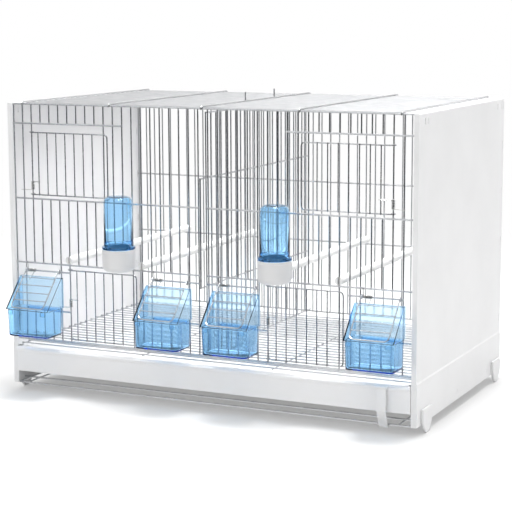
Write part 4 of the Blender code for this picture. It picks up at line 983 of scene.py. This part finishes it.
def make_perch(number, index):
    """A round perch, notched at both ends over an upright."""
    x = wire_x(index)
    front, rear = CROSS_Y - PERCH_PRONG / 2, BACK_CROSS_Y + PERCH_PRONG / 2
    bm = bmesh.new()
    sweep(bm, [(x, front, PERCH_Z), (x, rear, PERCH_Z)], PERCH_RADIUS, (0, 0, 1), PERCH_SIDES)
    piece = dress(f"perch_{number}_rod", bm, "perch_plastic", "cage", f"perch_{number}")
    notches = bmesh.new()
    low_z, high_z = PERCH_Z - PERCH_RADIUS - CUT_OVERRUN, PERCH_Z + PERCH_RADIUS + CUT_OVERRUN
    for start, end in ((front - CUT_OVERRUN, front + NOTCH_DEPTH),
                       (rear - NOTCH_DEPTH, rear + CUT_OVERRUN)):
        box(notches, (x - NOTCH_WIDTH / 2, start, low_z), (x + NOTCH_WIDTH / 2, end, high_z))
    combine(piece, notches, "DIFFERENCE")
    ease_edges(piece)


def make_foot(word, place, side, mid_y):
    """A flat tongue of a foot with rounded shoulders, outside a lower corner of a side wall."""
    half, tip = FOOT_WIDTH / 2, FOOT_TIP / 2
    handles = ((tip + (half - tip) / 2, FOOT_KNEE_Z / 2), (half, FOOT_KNEE_Z),
               (half, FOOT_KNEE_Z + FOOT_SHOULDER))
    curve = [(tip, 0)]
    for step in range(CORNER_STEPS + 1):
        share = step / CORNER_STEPS
        weights = ((1 - share) ** 2, 2 * share * (1 - share), share ** 2)
        curve.append(tuple(sum(weight * handle[axis] for weight, handle in zip(weights, handles))
                           for axis in (0, 1)))
    curve.append((half, FOOT_TOP_Z))
    outline = [(mid_y + y, z) for y, z in curve] + [(mid_y - y, z) for y, z in reversed(curve)]
    near = side * (PANEL_OUTER_X + PANEL_STEP + GAP)
    bm = bmesh.new()
    prism(bm, outline, along_x, near, near + side * FOOT_THICK)
    node = f"foot_{place}_{word}"
    piece = dress(f"{node}_tongue", bm, "white_plastic", "cage", node)
    ease_edges(piece, FOOT_EDGE, FOOT_SEGMENTS)


def keep_moulding(node, slot):
    """A CAD solid whose shape is right: its slot's look, with eased edges."""
    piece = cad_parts[node]
    for place in piece.material_slots:
        place.material = LOOKS[slot]
    ease_edges(piece)


def make_doors():
    """Two upper doors that mirror each other and two equal lower doors."""
    first, last = UPPER_DOOR_GAP
    left_free = wire_x(last) + DOOR_OVERLAP
    make_door("upper_left_door", first, left_free, UPPER_DOOR_Z, range(first + 1, last))
    make_door("upper_right_door", LAST_UPRIGHT - first, -left_free, UPPER_DOOR_Z,
              range(LAST_UPRIGHT - last + 1, LAST_UPRIGHT - first))
    first, last = LOWER_DOOR_GAP
    for word, offset in (("left", 0), ("right", HALF_UPRIGHTS)):
        free_x = wire_x(offset + last) + DOOR_OVERLAP - WALL_CLEARANCE
        make_door(f"lower_{word}_door", offset + first, free_x, LOWER_DOOR_Z,
                  range(offset + first + 1, offset + last))


def make_feeders():
    """Four feeders, each with its hood, its flap and the flap's spring."""
    gaps = [(low + offset, high + offset) for offset in (0, HALF_UPRIGHTS)
            for low, high in FEEDER_GAPS]
    for number, (low, high) in enumerate(gaps, 1):
        mid_x = (wire_x(low) + wire_x(high)) / 2
        make_feeder(number, mid_x)
        keep_moulding(f"feeder_{number}_hood", "clear_blue_plastic")
        make_flap(number, mid_x)
        make_flap_spring(number, mid_x)


def make_door_springs():
    """A spring on the hinge upright of each door."""
    upper, lower = UPPER_DOOR_GAP[0], LOWER_DOOR_GAP[0]
    springs = (("upper_left", upper, 1, UPPER_DOOR_Z[0]),
               ("upper_right", LAST_UPRIGHT - upper, -1, UPPER_DOOR_Z[0]),
               ("lower_left", lower, 1, SILL_Z),
               ("lower_right", lower + HALF_UPRIGHTS, 1, SILL_Z))
    for word, index, side, low_z in springs:
        make_door_spring(word, index, side, low_z + DOOR_SPRING_RISE)


def make_cage():
    """Dress every body of the cage."""
    make_front_half("front_left_wires", "front_left_grid", 0, False)
    make_front_half("front_right_wires", "front_right_grid", HALF_UPRIGHTS, True)
    make_back()
    make_roof()
    make_floor_grille()
    make_divider()
    make_base_frame()
    for side, word in ((-1, "left"), (1, "right")):
        keep_moulding(f"{word}_side_panel", "white_plastic")
        for place, mid_y in zip(("front", "rear"), FOOT_MIDS_Y):
            make_foot(word, place, side, mid_y)
    make_doors()
    make_feeders()
    make_door_springs()
    for word, index in zip(("left", "right"), DRINKER_GAPS):
        mid_x = wire_x(index) + PITCH / 2
        make_cup(word, mid_x)
        make_tube(word, mid_x)
    for number, index in enumerate(PERCH_WIRES, 1):
        make_perch(number, index)
    keep_moulding("tray", "pale_plastic")
    keep_moulding("tray_latch", "pale_plastic")


def make_camera():
    """The photograph's view."""
    data = bpy.data.cameras.new("photo_camera")
    data.sensor_width = SENSOR
    data.lens = CAMERA_LENS
    camera = bpy.data.objects.new("photo_camera", data)
    bpy.context.scene.collection.objects.link(camera)
    turn = Matrix.Rotation(CAMERA_TURN, 4, "Z") @ Matrix.Rotation(CAMERA_TILT, 4, "X")
    place = Vector(CAMERA_PLACE) - Vector((0, CAGE_MIDDLE_Y, 0))
    camera.matrix_world = Matrix.Translation(place) @ turn @ Matrix.Rotation(CAMERA_ROLL, 4, "Z")
    bpy.context.scene.camera = camera


def add_lamp(name, place, size, power):
    """A square soft light that faces the cage."""
    data = bpy.data.lights.new(name, "AREA")
    data.size = size
    data.energy = power
    lamp = bpy.data.objects.new(name, data)
    bpy.context.scene.collection.objects.link(lamp)
    lamp.location = place
    aim = Vector((0, 0, PANEL_TOP_Z / 2)) - Vector(place)
    lamp.rotation_euler = aim.to_track_quat("-Z", "Y").to_euler()


def reckon(tree, operation, first, second):
    """One step of maths on two sockets, kept between zero and one."""
    node = tree.nodes.new("ShaderNodeMath")
    node.operation = operation
    node.use_clamp = True
    tree.links.new(first, node.inputs[0])
    tree.links.new(second, node.inputs[1])
    return node.outputs["Value"]


def seen_ray(tree):
    """One for camera, glossy and transmission rays, else zero."""
    path = tree.nodes.new("ShaderNodeLightPath")
    direct = reckon(tree, "MAXIMUM", path.outputs["Is Camera Ray"], path.outputs["Is Glossy Ray"])
    return reckon(tree, "MAXIMUM", direct, path.outputs["Is Transmission Ray"])


def mirrored_ray(tree):
    """One for rays that a shiny surface throws back, else zero."""
    path = tree.nodes.new("ShaderNodeLightPath")
    return reckon(tree, "SUBTRACT", path.outputs["Is Glossy Ray"],
                  path.outputs["Is Transmission Ray"])


def mirrored_studio(tree):
    """The studio's brightness in a mirror: white, with a dark flag to each side in front."""
    ray = tree.nodes.new("ShaderNodeNewGeometry")
    heading = tree.nodes.new("ShaderNodeVectorMath")
    heading.operation = "SCALE"
    heading.inputs["Scale"].default_value = -1.0
    tree.links.new(ray.outputs["Incoming"], heading.inputs[0])
    tones = []
    for towards, edge, core in FLAGS:
        along = tree.nodes.new("ShaderNodeVectorMath")
        along.operation = "DOT_PRODUCT"
        along.inputs[1].default_value = towards
        tree.links.new(heading.outputs["Vector"], along.inputs[0])
        ranged = tree.nodes.new("ShaderNodeMapRange")
        ranged.interpolation_type = "SMOOTHSTEP"
        ranged.inputs["From Min"].default_value = edge
        ranged.inputs["From Max"].default_value = core
        ranged.inputs["To Min"].default_value = 1.0
        ranged.inputs["To Max"].default_value = FLAG_TONE
        tree.links.new(along.outputs["Value"], ranged.inputs["Value"])
        tones.append(ranged.outputs["Result"])
    return reckon(tree, "MINIMUM", *tones)


def far_away(tree, near, far):
    """Zero within near of the middle of the floor, one beyond far, in metres."""
    place = tree.nodes.new("ShaderNodeTexCoord")
    length = tree.nodes.new("ShaderNodeVectorMath")
    length.operation = "LENGTH"
    tree.links.new(place.outputs["Object"], length.inputs[0])
    ranged = tree.nodes.new("ShaderNodeMapRange")
    ranged.interpolation_type = "SMOOTHSTEP"
    ranged.inputs["From Min"].default_value = near
    ranged.inputs["From Max"].default_value = far
    tree.links.new(length.outputs["Value"], ranged.inputs["Value"])
    return ranged.outputs["Result"]


def make_world():
    """A white surround that gives the cage a plain, even light."""
    world = bpy.data.worlds.new("studio")
    bpy.context.scene.world = world
    world.use_nodes = True
    tree = world.node_tree
    sky = tree.nodes["Background"]
    sky.inputs["Color"].default_value = (1, 1, 1, 1)
    mix = tree.nodes.new("ShaderNodeMix")
    spread_between(tree, seen_ray(tree), SKY_FILL, 1.0, mix.inputs["A"])
    tree.links.new(mirrored_studio(tree), mix.inputs["B"])
    tree.links.new(mirrored_ray(tree), mix.inputs["Factor"])
    tree.links.new(mix.outputs["Result"], sky.inputs["Strength"])


def mix_shaders(tree, factor, first, second):
    """The first shader where factor is zero, the second where it is one."""
    mix = tree.nodes.new("ShaderNodeMixShader")
    tree.links.new(factor, mix.inputs["Fac"])
    tree.links.new(first, mix.inputs[1])
    tree.links.new(second, mix.inputs[2])
    return mix.outputs["Shader"]


def floor_look():
    """A pale matt floor that keeps the shadow and fades to white far away."""
    material, tree, shader = start_material("studio_floor")
    drift = noise(tree, *FLOOR_DRIFT)
    tint(tree, drift, FLOOR_DARK, FLOOR_LIGHT, shader.inputs["Base Color"])
    shader.inputs["Roughness"].default_value = FLOOR_ROUGH
    shader.inputs["Specular IOR Level"].default_value = FLOOR_SHINE
    shader.inputs["Emission Color"].default_value = (1, 1, 1, 1)
    spread_between(tree, seen_ray(tree), 0.0, FLOOR_LIFT, shader.inputs["Emission Strength"])
    glow = tree.nodes.new("ShaderNodeEmission")
    seen_far = reckon(tree, "MULTIPLY", far_away(tree, FLOOR_NEAR, FLOOR_FAR), seen_ray(tree))
    seen = mix_shaders(tree, seen_far, shader.outputs["BSDF"], glow.outputs["Emission"])
    mirrored = tree.nodes.new("ShaderNodeEmission")
    tree.links.new(mirrored_studio(tree), mirrored.inputs["Strength"])
    surface = mix_shaders(tree, mirrored_ray(tree), seen, mirrored.outputs["Emission"])
    tree.links.new(surface, tree.nodes["Material Output"].inputs["Surface"])
    return material


def make_studio():
    """A white surround, a pale floor and three soft lights."""
    make_world()
    bm = bmesh.new()
    bmesh.ops.create_grid(bm, x_segments=FLOOR_CELLS, y_segments=FLOOR_CELLS, size=FLOOR_HALF,
                          matrix=Matrix.Translation((0, 0, -FLOOR_DROP)))
    floor = add_mesh("studio_floor", bm)
    floor.data.materials.append(floor_look())
    for name, place, size, power in LAMPS:
        add_lamp(name, place, size, power)


bpy.context.scene.view_settings.view_transform = "Standard"
LOOKS = make_looks()
make_camera()
make_cage()
make_studio()
bpy.context.view_layer.update()
